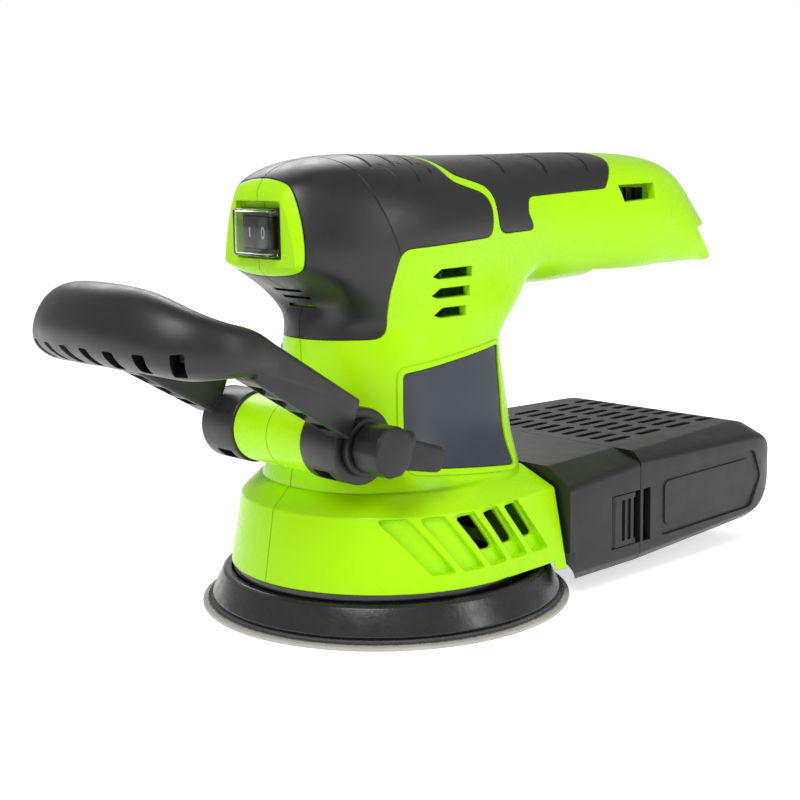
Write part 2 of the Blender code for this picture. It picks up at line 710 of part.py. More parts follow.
def side_slots(side):
    """Three cooling slots in the neck, their front ends slanted."""
    slots = []
    for number, (z, front,
        rear) in enumerate(((0.1098, -0.0075, 0.0100), (0.1038, -0.0078, 0.0088),
            (0.0978, -0.0074, 0.0072))):
        low, high = z - 0.0017, z + 0.0017
        outline = [(front + 0.0025, low), (rear, low), (rear, high), (front + 0.0035, high),
            (front, z - 0.0006)]
        slots.append(prism(f"Cooling slot {side} {number}", outline, *sorted((side * 0.018, side * 0.05))))
    return slots


def skirt_vents(side):
    """A row of slanted pockets in the skirt's side, the rear ones open into the skirt."""
    low, high = 0.0195, 0.0370
    lean = 0.0120
    start, end = -0.0370, 0.0270
    pitch = (end - start - lean) / VENT_COUNT
    cutters = []
    for number in range(VENT_COUNT):
        x = start + pitch * number
        outline = [
            (x + lean + VENT_RIB, low), (x + lean + pitch, low), (x + pitch, high), (x + VENT_RIB, high)]
        reach = sorted((side * 0.0200, side * 0.07))
        pocket = prism(f"Skirt vent {side} {number}", outline, *reach)
        if number < VENT_BLIND:
            cut(pocket, skirt_form(f"Vent floor {side} {number}", VENT_DEPTH, 0.0))
        cutters.append(pocket)
    return cutters


def screw_holes(side):
    """Through both halves for the shanks, and down to the heads in the right half."""
    tip = SCREW_HEAD_Y - SCREW_LENGTH - GAP
    holes = []
    for number, (x, z) in enumerate(screw_places(), 1):
        shank = (SCREW_SHANK + GAP, (x, tip, z), (x, SCREW_HEAD_Y + 0.001, z))
        head = (SCREW_HEAD + 0.0005, (x, SCREW_HEAD_Y, z), (x, 0.06, z))
        holes.append(cylinder(f"Screw shank room {side} {number}", *shank, segments=8))
        if side > 0:
            holes.append(cylinder(f"Screw head room {number}", *head, segments=10))
    return holes


def window_in_handle(side):
    outline = [(0.0955, 0.1275), (0.1135, 0.1285), (0.1105, 0.1345), (0.0925, 0.1335)]
    return prism(f"Bay window {side}", outline, *sorted((side * 0.015, side * 0.05)))


def label_corners():
    """(x, z) of the label plate's corners."""
    return (
        (NECK_FRONT_X + 0.0188, DECK_Z + 0.0064),
        (NECK_REAR_X - 0.0096, DECK_Z + 0.0012),
        (NECK_REAR_X - 0.0162, 0.0845),
        (NECK_FRONT_X + 0.0160, 0.0794),
    )


def label_outline(grow=0.0):
    places = label_corners()
    centre_x = sum(p[0] for p in places) / len(places)
    centre_z = sum(p[1] for p in places) / len(places)
    corners = []
    for x, z in places:
        corners.append((x + math.copysign(grow, x - centre_x), z + math.copysign(grow, z - centre_z),
            0.0015 + grow))
    return rounded(corners, 2)


def half_space(side, name):
    if side > 0:
        return box(name, (-0.20, SEAM / 2.0, -0.05), (0.20, 0.10, 0.20))
    return box(name, (-0.20, -0.10, -0.05), (0.20, -SEAM / 2.0, 0.20))


def build_housing():
    outer = copy_of(body_form("Body outer form", 0.0), "Outer")
    boss = cylinder(
        "Pivot boss", BOSS_RADIUS, (PIVOT_X, -BOSS_HALF_LENGTH, PIVOT_Z),
            (PIVOT_X, BOSS_HALF_LENGTH, PIVOT_Z),
        segments=32)
    join(outer, skirt_form("Skirt outer form", 0.0, SKIRT_REAR_LOW_Z - 0.002), boss)
    whole = copy_of(outer, "Whole housing")
    cut(whole, housing_cavity(boss), *housing_cutters())
    whole = copy_of(whole, "Housing body")
    groove = inlay_skin("Inlay groove", -0.0030, GRIP_SKIN + GAP, BEZEL_DEPTH - GAP)
    skin = inlay_skin("Inlay skin", 0.0, GRIP_SKIN, BEZEL_DEPTH)
    inlays = (
        ("head_grip", head_grip_outline, SOFT),
        ("handle_grip", handle_grip_outline, SOFT),
        ("label_plate", label_outline, SLATE),
    )
    for side, name in ((-1, "left"), (1, "right")):
        tools = [*side_slots(side), *skirt_vents(side), window_in_handle(side), *screw_holes(side)]
        for part, outline, finish in inlays:
            channel = copy_of(groove, f"Channel {part} {name}")
            reach = sorted((-side * 0.001, side * 0.06))
            keep(channel, prism(f"Channel outline {part} {name}", outline(GAP), *reach))
            tools.append(copy_of(channel, f"Channel tool {part} {name}"))
            inlay(f"{part}_{name}", outline(), skin, side, finish)
        shell = keep(copy_of(whole, f"Shell {name}"), half_space(side, f"Half space {name}"))
        copy_of(cut(shell, *tools), f"housing_{name}", LIME)


# ---------------------------------------------------------------- screws and switch
def build_screws():
    for number, (x, z) in enumerate(screw_places(), 1):
        head_y = SCREW_HEAD_Y + GAP
        screw = cylinder(
            f"Screw blank {number}", SCREW_HEAD, (x, head_y, z), (x, head_y + SCREW_HEAD_HEIGHT, z),
                segments=10)
        shank = cylinder(
            f"Screw shank {number}", SCREW_SHANK, (x, SCREW_HEAD_Y - SCREW_LENGTH, z),
                (x, head_y + 0.001, z),
            segments=8)
        drive = cylinder(
            f"Screw drive {number}", 0.0011, (x, head_y + 0.0009, z), (x, head_y + 0.004, z), segments=4)
        cut(join(screw, shank), drive)
        copy_of(screw, f"housing_screw_{number}", STEEL)


def rocker_pivot_x():
    return NOSE_X + SWITCH_RECESS + 0.0012


def build_switch():
    wall_x = NOSE_X + SWITCH_RECESS
    middle = (SWITCH_LOW + SWITCH_HIGH) / 2.0
    half = (SWITCH_HIGH - SWITCH_LOW) / 2.0
    flange_x = wall_x - GAP - 0.0012
    room_y, room_z = ROCKER_HALF_WIDTH + 0.0006, half - 0.0014
    case = box(
        "Switch body", (wall_x - 0.0010, -SWITCH_HALF_WIDTH, SWITCH_LOW),
        (wall_x + SWITCH_DEPTH, SWITCH_HALF_WIDTH, SWITCH_HIGH))
    flange = box(
        "Switch flange", (flange_x, -SWITCH_HALF_WIDTH - 0.0015, SWITCH_LOW - 0.0009),
        (wall_x - GAP, SWITCH_HALF_WIDTH + 0.0015, SWITCH_HIGH + 0.0009))
    room = box(
        "Rocker room", (flange_x - 0.001, -room_y, middle - room_z),
            (wall_x + 0.0068, room_y, middle + room_z))
    pin_x = rocker_pivot_x()
    pin = cylinder("Rocker pin", ROCKER_PIN, (pin_x, 0, SWITCH_LOW + 0.0006),
        (pin_x, 0, SWITCH_HIGH - 0.0006), segments=12)
    case = copy_of(cut(join(case, flange), room), "Switch shell")
    copy_of(join(case, pin), "switch_case", BLACK)

    boot = box(
        "Boot outside", (BOOT_FRONT_X, -SWITCH_HALF_WIDTH - 0.0005, SWITCH_LOW - 0.0006),
        (flange_x - GAP, SWITCH_HALF_WIDTH + 0.0005, SWITCH_HIGH + 0.0008), bevel=0.0008)
    hollow = box(
        "Boot inside",
            (BOOT_FRONT_X + BOOT_WALL, -SWITCH_HALF_WIDTH - 0.0005 + BOOT_WALL,
                SWITCH_LOW - 0.0006 + BOOT_WALL),
        (flange_x + 0.001, SWITCH_HALF_WIDTH + 0.0005 - BOOT_WALL, SWITCH_HIGH + 0.0008 - BOOT_WALL))
    copy_of(cut(boot, hollow), "switch_boot", CLEAR)

    y = ROCKER_HALF_WIDTH
    outline = [(-0.0046, -y), (-0.0033, 0.0), (-0.0046, y), (0.0012, y - 0.0004), (0.0028, 0.0),
        (0.0012, 0.0004 - y)]
    rocker = prism("Rocker blank", outline, middle - room_z + GAP, middle + room_z - GAP, axis="Z")
    cut(rocker, cylinder("Rocker bore", ROCKER_PIN + GAP, (0, 0, 0.10), (0, 0, 0.15), segments=12))
    rocker = copy_of(rocker, "rocker", BLACK)
    rocker.location = (pin_x, 0.0, 0.0)
    rocker.rotation_euler = (0.0, 0.0, -ROCKER_TILT)


# ---------------------------------------------------------------- motor, bearings and pad drive
def magnet_inner():
    return MOTOR_RADIUS - MOTOR_WALL - GAP - MAGNET_THICKNESS


def build_motor():
    centre = (ROTOR_X, 0.0)
    low, top = MOTOR_LOW, MOTOR_LOW + MOTOR_HEIGHT
    inner = MOTOR_RADIUS - MOTOR_WALL
    turned("motor_can", [
        (BEARING_OUTER, low), (MOTOR_RADIUS, low), (MOTOR_RADIUS, top), (inner, top),
        (inner, low + MOTOR_WALL), (BEARING_OUTER, low + MOTOR_WALL)], STEEL, centre, 28)
    magnet_low = low + MOTOR_WALL + GAP
    turned("magnet_ring", [
        (magnet_inner(), magnet_low), (inner - GAP, magnet_low), (inner - GAP, top - 0.006),
        (magnet_inner(), top - 0.006)], FERRITE, centre, 24)
    bell = top + GAP
    seat = BEARING_OUTER + GAP
    turned("end_bell", [
        (seat, bell), (MOTOR_RADIUS, bell), (MOTOR_RADIUS, bell + 0.0020), (seat + 0.0018, bell + 0.0020),
        (seat + 0.0018, bell_top()), (SHAFT_RADIUS + GAP, bell_top()),
        (SHAFT_RADIUS + GAP, bell_top() - 0.0012), (seat, bell_top() - 0.0012)], BLACK, centre, 24)
    bearing("upper_bearing", bell_top() - 0.0012 - GAP - BEARING_HEIGHT, SHAFT_RADIUS + GAP, centre)
    plate_top = plate_low() + PLATE_THICKNESS
    cup_floor = plate_top - 0.0014 - GAP - BEARING_HEIGHT
    turned("bearing_plate", [
        (seat, plate_top), (seat, cup_floor), (SHAFT_RADIUS + 0.0015, cup_floor),
        (SHAFT_RADIUS + 0.0015, cup_floor - 0.0012), (seat + 0.0018, cup_floor - 0.0012),
        (seat + 0.0018, plate_low()), (PLATE_RADIUS, plate_low()), (PLATE_RADIUS, plate_top)], ZINC,
        centre, 24)
    bearing("lower_bearing", cup_floor + GAP, SHAFT_RADIUS + GAP, centre)


def bearing(name, low, bore, centre, outer=BEARING_OUTER, height=BEARING_HEIGHT):
    turned(name, [(bore, low), (outer, low), (outer, low + height), (bore, low + height)], STEEL, centre,
        18)


def build_rotor():
    centre = (ROTOR_X, 0.0)
    shaft_top = bell_top() + 0.0012
    shaft = cylinder("Shaft blank", SHAFT_RADIUS, (ROTOR_X, 0, SHAFT_LOW), (ROTOR_X, 0, shaft_top),
        segments=16)
    copy_of(shaft, "motor_shaft", STEEL)
    bore = SHAFT_RADIUS + GAP
    radius = magnet_inner() - ARMATURE_GAP
    low, top = MOTOR_LOW + 0.0080, MOTOR_LOW + MOTOR_HEIGHT - 0.0120
    core = turned("Armature blank", [(bore, low), (radius, low), (radius, top), (bore, top)], None,
        centre, 27)
    slots = []
    for number in range(ARMATURE_SLOTS):
        angle = TAU * number / ARMATURE_SLOTS
        slot = box(f"Armature slot {number}", (radius - 0.0040, -0.0009, low - 0.001),
            (radius + 0.001, 0.0009, top + 0.001))
        slot.rotation_euler = (0.0, 0.0, angle)
        slot.location = (ROTOR_X, 0.0, 0.0)
        slots.append(slot)
    copy_of(cut(core, *slots), "armature", COPPER)
    turned("commutator", [
        (bore, top + GAP), (0.0075, top + GAP), (0.0075, top + 0.0072), (bore, top + 0.0072)], COPPER,
        centre, 16)
    build_fan(centre, bore)
    body = turned("Eccentric blank", [
        (bore, SHAFT_LOW + 0.0004), (bore, FAN_LOW - GAP), (0.0090, FAN_LOW - GAP),
        (0.0110, FAN_LOW - 0.0060),
        (ECCENTRIC_RADIUS, FAN_LOW - 0.0070), (ECCENTRIC_RADIUS, ECCENTRIC_LOW), (0.0, ECCENTRIC_LOW),
        (0.0, SHAFT_LOW - GAP), (bore, SHAFT_LOW - GAP)], None, centre, 20)
    spigot = cylinder("Eccentric spigot", SPIGOT_RADIUS, (0, 0, hub_floor() + GAP),
        (0, 0, ECCENTRIC_LOW + 0.002))
    relief = box(
        "Eccentric relief", (ROTOR_X + 0.0060, -0.03, ECCENTRIC_LOW + 0.0030),
            (0.03, 0.03, FAN_LOW - 0.0080))
    copy_of(cut(join(body, spigot), relief), "eccentric", ZINC)


def build_fan(centre, bore):
    top = FAN_LOW + FAN_HEIGHT
    disc = turned("Fan disc", [
        (bore, FAN_LOW), (FAN_RADIUS, FAN_LOW), (FAN_RADIUS, FAN_LOW + 0.0014), (0.0105, FAN_LOW + 0.0022),
        (0.0085, top), (bore, top)], None, centre, 24)
    blades = []
    for number in range(FAN_BLADES):
        angle = TAU * number / FAN_BLADES
        blade = box(f"Fan blade {number}", (0.0080, -0.0006, FAN_LOW + 0.0006),
            (FAN_RADIUS - 0.0006, 0.0006, top))
        blade.rotation_euler = (0.0, 0.0, angle)
        blade.location = (ROTOR_X, 0.0, 0.0)
        blades.append(blade)
    copy_of(join(disc, *blades), "fan", DARK)


def pad_low():
    return DISC_THICKNESS + HOOK_THICKNESS + 2.0 * GAP


def hub_floor():
    """Where the pad bearing stands in its hub."""
    return ECCENTRIC_LOW - GAP - PAD_BEARING_HEIGHT - GAP


def hole_circle(name, low, high):
    holes = []
    for number in range(HOLE_COUNT):
        angle = TAU * (number + 0.5) / HOLE_COUNT
        x, y = HOLE_CIRCLE * math.cos(angle), HOLE_CIRCLE * math.sin(angle)
        holes.append(cylinder(f"{name} hole {number}", HOLE_RADIUS, (x, y, low), (x, y, high), segments=10))
    return holes


def build_pad():
    seat = BEARING_OUTER + GAP
    bearing("pad_bearing", hub_floor() + GAP, SPIGOT_RADIUS + GAP, (0.0, 0.0), height=PAD_BEARING_HEIGHT)
    screw_bore = PAD_SCREW_RADIUS + GAP
    hub_low = PAD_DISH_Z + GAP
    turned("pad_hub", [
        (screw_bore, hub_low), (PAD_HUB_RADIUS, hub_low), (PAD_HUB_RADIUS, hub_low + 0.0024),
        (seat + 0.0032, hub_low + 0.0040), (seat + 0.0022, ECCENTRIC_LOW - GAP),
        (seat, ECCENTRIC_LOW - GAP),
        (seat, hub_floor()), (screw_bore, hub_floor())], ZINC, (0.0, 0.0), 24)
    low = pad_low()
    recess_top = low + PAD_RECESS_DEPTH
    lip = PAD_RIM_RADIUS - PAD_LIP
    pad = turned("Pad blank", [
        (screw_bore, recess_top), (PAD_RECESS_RADIUS, recess_top), (PAD_RECESS_RADIUS, low),
        (PAD_RADIUS - 0.0006, low),
        (PAD_RADIUS, low + 0.0008), (PAD_RIM_RADIUS, PAD_RIM_Z - 0.0008),
        (PAD_RIM_RADIUS - 0.0008, PAD_RIM_Z), (lip, PAD_RIM_Z), (lip, PAD_DISH_Z),
            (screw_bore, PAD_DISH_Z)],
        None, (0.0, 0.0), 40)
    copy_of(cut(pad, *hole_circle("Pad", low - 0.001, PAD_DISH_Z + 0.001)), "sanding_pad", FOAM)
    hook_low = DISC_THICKNESS + GAP
    hooks = turned("Hook blank", [
        (PAD_RECESS_RADIUS, hook_low), (HOOK_RADIUS, hook_low), (HOOK_RADIUS, hook_low + HOOK_THICKNESS),
        (PAD_RECESS_RADIUS, hook_low + HOOK_THICKNESS)], None, (0.0, 0.0), 32)
    copy_of(cut(hooks, *hole_circle("Hook", 0.0, 0.01)), "hook_face", HOOKS)
    disc = cylinder("Disc blank", DISC_RADIUS, (0, 0, 0), (0, 0, DISC_THICKNESS), segments=56)
    copy_of(cut(disc, *hole_circle("Disc", -0.01, 0.01)), "sanding_disc", VELOUR)
    head_low = low + 0.0002
    head = cylinder("Pad screw head", PAD_RECESS_RADIUS - 0.0006, (0, 0, head_low),
        (0, 0, recess_top - GAP), segments=20)
    shank = cylinder("Pad screw shank", PAD_SCREW_RADIUS, (0, 0, head_low + 0.001),
        (0, 0, hub_floor() - 0.0006), segments=12)
    drive = cylinder("Pad screw drive", 0.0025, (0, 0, head_low - 0.001), (0, 0, head_low + 0.0014),
        segments=6)
    copy_of(cut(join(head, shank), drive), "pad_screw", STEEL)


def build_seal():
    """The black ring that closes the skirt against the pad."""
    inner = SEAL_RADIUS - 0.0022
    step = PAD_RIM_Z + 0.0005
    turned("skirt_seal", [
        (inner, SEAL_LOW_Z), (SEAL_RADIUS, SEAL_LOW_Z), (SEAL_RADIUS, step),
        (SKIRT_RADIUS - 0.0024, step), (SKIRT_RADIUS - 0.0024, SKIRT_LOW_Z - GAP),
            (inner, SKIRT_LOW_Z - GAP)],
        RUBBER, (ROTOR_X, 0.0), 40)


# ---------------------------------------------------------------- front handle and its clamp
GripStation = namedtuple("GripStation", "u y v half_height half_thickness lean")
GRIP_RING = 8
GRIP_STATIONS = (
    GripStation(0.0380, 0.0362, 0.0295, 0.0068, 0.0046, 0.0),
    GripStation(0.0450, 0.0372, 0.0332, 0.0070, 0.0054, 0.0),
    GripStation(0.0530, 0.0370, 0.0350, 0.0078, 0.0066, 8.0),
    GripStation(0.0605, 0.0310, 0.0368, 0.0098, 0.0092, 18.0),
    GripStation(0.0645, 0.0205, 0.0392, 0.0110, 0.0108, 26.0),
    GripStation(0.0665, 0.0100, 0.0402, 0.0115, 0.0115, 28.0),
    GripStation(0.0670, 0.0000, 0.0405, 0.0115, 0.0116, 28.0),
)


def grip_path():
    """The grip's stations from arm to arm: the listed side and its mirror image."""
    mirrored = [s._replace(y=-s.y) for s in reversed(GRIP_STATIONS[:-1])]
    return list(GRIP_STATIONS) + mirrored


def grip_form(name):
    """The hand bar in front, from arm to arm: -x runs from the pivot out to the bar, z is up."""
    path = grip_path()
    bm = bmesh.new()
    rings = []
    for index, station in enumerate(path):
        before, after = path[max(index - 1, 0)], path[min(index + 1, len(path) - 1)]
        along = Vector((-(after.u - before.u), after.y - before.y)).normalized()
        across = Vector((along.y, -along.x))
        lean = math.radians(station.lean)
        ring = []
        for k in range(GRIP_RING):
            angle = TAU * k / GRIP_RING
            wide = station.half_thickness * power(math.cos(angle), 0.80)
            tall = station.half_height * power(math.sin(angle), 0.80)
            out = wide * math.cos(lean) - tall * math.sin(lean)
            rise = wide * math.sin(lean) + tall * math.cos(lean)
            ring.append(bm.verts.new(
                (-station.u + across.x * out, station.y + across.y * out, station.v + rise)))
        rings.append(ring)
    for first, second in zip(rings, rings[1:]):
        bridge(bm, first, second)
    bm.faces.new(rings[0])
    bm.faces.new(rings[-1])
    crease = bm.edges.layers.float.new("crease_edge")
    for ring in (rings[0], rings[-1]):
        for first, second in zip(ring, ring[1:] + ring[:1]):
            bm.edges.get((first, second))[crease] = 1.0
    settle(bm)
    form = subdivide(add(name, bm), 1)
    form.modifiers.new("Flat faces", "TRIANGULATE")
    return form


def arm_bar(name, outline, inner, outer, side):
    """A bar of one side's arm: the outline is out from the pivot and up, and the bar spreads outwards."""
    flat = copy_of(prism(f"{name} outline", [(-u, v) for u, v in outline], side * inner, side * outer),
        name)
    for vertex in flat.data.vertices:
        vertex.co.y -= side * ARM_SPREAD * (vertex.co.x + ARM_FOOT)
    for collection in list(flat.users_collection):
        collection.objects.unlink(flat)
    CUTTERS.objects.link(flat)
    return flat


def arm_channel(side):
    """The hollow under one arm, with slanted ribs left standing in it."""
    inner, outer = ARM_INNER_Y + ARM_WALL, ARM_OUTER_Y - ARM_WALL
    hollow = arm_bar(f"Arm hollow {side:+.0f}", ARM_HOLLOW, inner, outer, side)
    ribs = []
    for number in range(ARM_RIBS):
        u = ARM_RIB_START + ARM_RIB_PITCH * number
        outline = [(u, 0.000), (u + 0.0014, 0.000), (u + 0.0094, 0.040), (u + 0.0080, 0.040)]
        ribs.append(arm_bar(f"Arm rib {side:+.0f} {number}", outline, inner - 0.001, outer + 0.001, side))
    return copy_of(cut(hollow, *ribs), f"Arm channel {side:+.0f}")


def grip_pockets():
    """Moulded pockets along the lower front edge of the grip."""
    pockets = []
    for number in range(GRIP_POCKETS):
        share = 2.0 * number / (GRIP_POCKETS - 1) - 1.0
        y = POCKET_HALF_SPAN * share
        u = POCKET_FRONT_U - POCKET_SWEEP * abs(share) ** 2.2
        pocket = box(
            f"Grip pocket {number}", (-0.0046, -0.0020, -0.0040), (0.0046, 0.0020, 0.0040))
        pocket.location = (-u, y, POCKET_V)
        pocket.rotation_euler = (0.0, math.radians(-30.0), math.radians(-38.0) * share)
        pockets.append(pocket)
    return pockets


def build_front_handle():
    arms, hubs, bores = [], [], []
    for side in (-1.0, 1.0):
        inner, outer = side * (BOSS_HALF_LENGTH + GAP), side * HUB_END_Y
        hubs.append(cylinder(f"Hub {side:+.0f}", HUB_RADIUS, (0, inner, 0), (0, outer, 0), segments=28))
        arms.append(arm_bar(f"Arm {side:+.0f}", ARM_OUTLINE, ARM_INNER_Y, ARM_OUTER_Y, side))
        bores.append(cylinder(
            f"Hub bore {side:+.0f}", BOLT_RADIUS + GAP, (0, inner - side * 0.01, 0),
                (0, outer + side * 0.01, 0),
            segments=14))
        bores.append(cylinder(
            f"Clamp room {side:+.0f}", WASHER_RADIUS + 0.0008, (0, outer, 0), (0, outer + side * 0.03, 0),
                segments=24))
        for number in range(3):
            angle = math.radians(20.0 + 55.0 * number)
            pocket = box(
                f"Hub pocket {side:+.0f} {number}", (0.0075, -0.0038, -0.0026), (0.0150, 0.0038, 0.0026))
            pocket.location = (0.0, side * (BOSS_HALF_LENGTH + 0.0075), 0.0)
            pocket.rotation_euler = (0.0, angle, 0.0)
            bores.append(pocket)
        bores.append(arm_channel(side))
    whole = copy_of(join(grip_form("Grip form"), *hubs, *arms), "Handle blank")
    gap = cylinder("Boss room", HUB_RADIUS + 0.0010, (0, -BOSS_HALF_LENGTH - GAP, 0),
        (0, BOSS_HALF_LENGTH + GAP, 0))
    handle = copy_of(cut(whole, gap, *bores, *grip_pockets()), "aux_handle", SOFT)
    handle.location = (PIVOT_X, 0.0, PIVOT_Z)


def washer_y():
    """The y of the washer's inner and outer faces."""
    inner = -(HUB_END_Y + GAP)
    return inner, inner - WASHER_THICKNESS


def build_clamp():
    pivot = (PIVOT_X, 0.0, PIVOT_Z)
    knob_inner = washer_y()[1] - GAP
    knob_outer = knob_inner - KNOB_LENGTH
    bolt_tip = knob_outer + 0.0030
    bolt = cylinder("Bolt shank", BOLT_RADIUS, (0, bolt_tip, 0), (0, HUB_END_Y + 0.002, 0), segments=14)
    head = cylinder(
        "Bolt head", 0.0066, (0, HUB_END_Y + GAP, 0), (0, HUB_END_Y + GAP + 0.0042, 0), segments=6)
    bolt = copy_of(join(bolt, head), "clamp_bolt", STEEL)
    washer = cylinder("Washer blank", WASHER_RADIUS, (0, washer_y()[0], 0), (0, washer_y()[1], 0),
        segments=24)
    bore = cylinder("Washer bore", BOLT_RADIUS + GAP, (0, washer_y()[0] + 0.01, 0),
        (0, washer_y()[1] - 0.01, 0), segments=14)
    washer = copy_of(cut(washer, bore), "clamp_washer", DARK)
    barrel = cylinder("Knob barrel", KNOB_RADIUS, (0, knob_inner, 0), (0, knob_outer, 0), segments=10)
    wing = prism("Knob wing", rounded([
        (0.0, 0.0052, 0.0), (0.0, -0.0052, 0.0), (WING_LENGTH, -0.0036, 0.0030),
            (WING_LENGTH, 0.0044, 0.0030)], 3),
        knob_outer + 0.0020, knob_outer + 0.0068)
    grip = wing.modifiers.new("Edges", "BEVEL")
    grip.width = 0.0010
    grip.segments = 1
    thread = cylinder(
        "Knob bore", BOLT_RADIUS + GAP, (0, knob_inner + 0.01, 0), (0, bolt_tip - GAP, 0), segments=14)
    knob = copy_of(cut(copy_of(join(barrel, wing), "Knob blank"), thread), "wing_knob", DARK)
    for obj in (bolt, washer, knob):
        obj.location = pivot
    knob.rotation_euler = (0.0, WING_DROOP, 0.0)


# ---------------------------------------------------------------- electronics in the grip
def build_battery_mount():
    low = BAY_TOP_Z - MOUNT_THICKNESS - GAP
    top = BAY_TOP_Z - GAP
    side, comb_side, comb_top = MOUNT_HALF_WIDTH, COMB_HALF_WIDTH, COMB_TOP_Z
    plate = box("Mount plate", (BAY_FRONT_X + GAP, -side, low), (HANDLE_END_X - 0.0160, side, top))
    comb_x = (BAY_FRONT_X + 0.0040, BAY_FRONT_X + 0.0290)
    comb = box("Mount comb", (comb_x[0], -comb_side, top - 0.001), (comb_x[1], comb_side, comb_top))
    grooves = []
    for number in range(MOUNT_GROOVES):
        x = comb_x[0] + 0.0022 + (comb_x[1] - comb_x[0] - 0.0030) / MOUNT_GROOVES * number
        for flank in (-1.0, 1.0):
            reach = sorted((flank * (comb_side - 0.0018), flank * (comb_side + 0.001)))
            grooves.append(box(
                f"Mount groove {flank:+.0f} {number}", (x, reach[0], top + 0.0006),
                    (x + 0.0022, reach[1], comb_top + 0.001)))
    rails = []
    for flank in (-1.0, 1.0):
        hanger = sorted((flank * 0.0125, flank * 0.0145))
        lip = sorted((flank * 0.0125, flank * 0.0168))
        start, end = BAY_FRONT_X + 0.018, HANDLE_END_X - 0.0180
        rails.append(box(
            f"Rail web {flank:+.0f}", (start, hanger[0], low - 0.0072), (end, hanger[1], low + 0.001)))
        rails.append(box(
            f"Rail lip {flank:+.0f}", (start, lip[0], low - 0.0072), (end, lip[1], low - 0.0052)))
    copy_of(cut(copy_of(join(plate, comb, *rails), "Mount blank"), *grooves), "battery_mount", BLACK)
    build_terminals(low)


def build_terminals(mount_low):
    top = mount_low - GAP
    low = top - 0.0105
    rear = BAY_FRONT_X + 0.0120
    block = box("Terminal blank", (BAY_FRONT_X + 0.0010, -0.0110, low), (rear, 0.0110, top))
    rooms = []
    for name, side in (("positive", -1.0), ("negative", 1.0)):
        y = side * 0.0060
        rooms.append(box(f"Blade room {name}", (rear - 0.0060, y - 0.0007, low + 0.0017),
            (rear + 0.001, y + 0.0007, low + 0.0083)))
        box(f"{name}_blade", (rear - 0.0057, y - 0.0004, low + 0.0020),
            (rear + 0.0110, y + 0.0004, low + 0.0080), COPPER)
    copy_of(cut(block, *rooms), "terminal_block", DARK)


def build_board():
    low, high = BOARD_Z, BOARD_Z + BOARD_THICKNESS
    board = box("Board blank", (BOARD_X, -0.0160, low), (BOARD_X + BOARD_LENGTH, 0.0160, high))
    sink = box("Heat sink", (BOARD_X + 0.0060, -0.0110, high - 0.0004),
        (BOARD_X + 0.0150, 0.0110, high + 0.0080))
    capacitor = cylinder(
        "Capacitor", 0.0042, (BOARD_X + 0.0220, 0.0, high - 0.0004),
            (BOARD_X + 0.0220, 0.0, high + 0.0100), segments=16)
    copy_of(join(board, sink, capacitor), "control_board", BOARD)


def lead(name, points, finish):
    """A wire: a curve with round section along a few chosen points."""
    curve = bpy.data.curves.new(name, "CURVE")
    curve.dimensions = "3D"
    curve.bevel_depth = LEAD_RADIUS
    curve.bevel_resolution = 1
    curve.resolution_u = 3
    curve.use_fill_caps = True
    spline = curve.splines.new("BEZIER")
    spline.bezier_points.add(len(points) - 1)
    for bezier, point in zip(spline.bezier_points, points):
        bezier.co = point
        bezier.handle_left_type = bezier.handle_right_type = "AUTO"
    return place(bpy.data.objects.new(name, curve), finish)


def build_leads():
    bell = MOTOR_LOW + MOTOR_HEIGHT + GAP + 0.0020 + GAP
    board_front = BOARD_X - GAP
    board_rear = BOARD_X + BOARD_LENGTH + GAP
    middle = BOARD_Z + BOARD_THICKNESS / 2.0
    block_front = BAY_FRONT_X + 0.0010 - 2.0 * GAP
    block_z = BAY_TOP_Z - MOUNT_THICKNESS - 3.0 * GAP - 0.0028
    for name, side, finish in (("positive_lead", -1.0, WIRE_RED), ("negative_lead", 1.0, BLACK)):
        y = side * 0.0060
        lead(name, [
            (block_front, y, block_z), (block_front - 0.0045, y, block_z + 0.0012),
            (board_rear + 0.0035, y, middle - 0.0006), (board_rear, y, middle)], finish)
        x = ROTOR_X + MOTOR_RADIUS - 0.0035
        lead(f"motor_{name}", [
            (x, y, bell), (x + 0.0003, y, bell + 0.0050), (board_front - 0.0100, y, middle + 0.0006),
                (board_front, y, middle)], finish)
    case_rear = NOSE_X + SWITCH_RECESS + SWITCH_DEPTH + GAP
    lead("switch_lead", [
        (case_rear, 0.0, middle + 0.0010), (case_rear + 0.0200, 0.0, middle + 0.0022),
        (board_front - 0.0200, 0.0, middle + 0.0015), (board_front, 0.0, middle)], BLACK)


# ---------------------------------------------------------------- dust box
BoxSection = namedtuple("BoxSection", "x low side_top top half_width top_half_width low_half_width")


def box_sections(joint_half_width):
    """The dust box's sections from front to rear; the top's half width at the joint is given."""
    front, split, rear = BOX_FRONT_X, BOX_SPLIT_X, BOX_REAR_X
    low, side, top = BOX_LOW_Z, BOX_SIDE_TOP_Z, BOX_TOP_Z
    wide, flat = BOX_HALF_WIDTH, BOX_TOP_HALF_WIDTH
    return (
        BoxSection(front, low, side - 0.0030, top - 0.0004, wide, flat + 0.0015, wide - 0.0020),
        BoxSection(split, low, side + 0.0004, top + 0.0002, wide, joint_half_width, wide - 0.0028),
        BoxSection(rear - 0.0160, low + 0.0030, side, top + 0.0004, wide, flat + 0.0010, wide - 0.0038),
        BoxSection(rear - 0.0060, low + 0.0066, side - 0.0012, top + 0.0001, wide - 0.0008, flat,
            wide - 0.0058),
        BoxSection(rear - 0.0018, low + 0.0122, side - 0.0040, top - 0.0018, wide - 0.0020, flat - 0.0010,
            wide - 0.0080),
        BoxSection(rear, low + 0.0190, side - 0.0080, top - 0.0068, wide - 0.0038, flat - 0.0025,
            wide - 0.0100),
    )


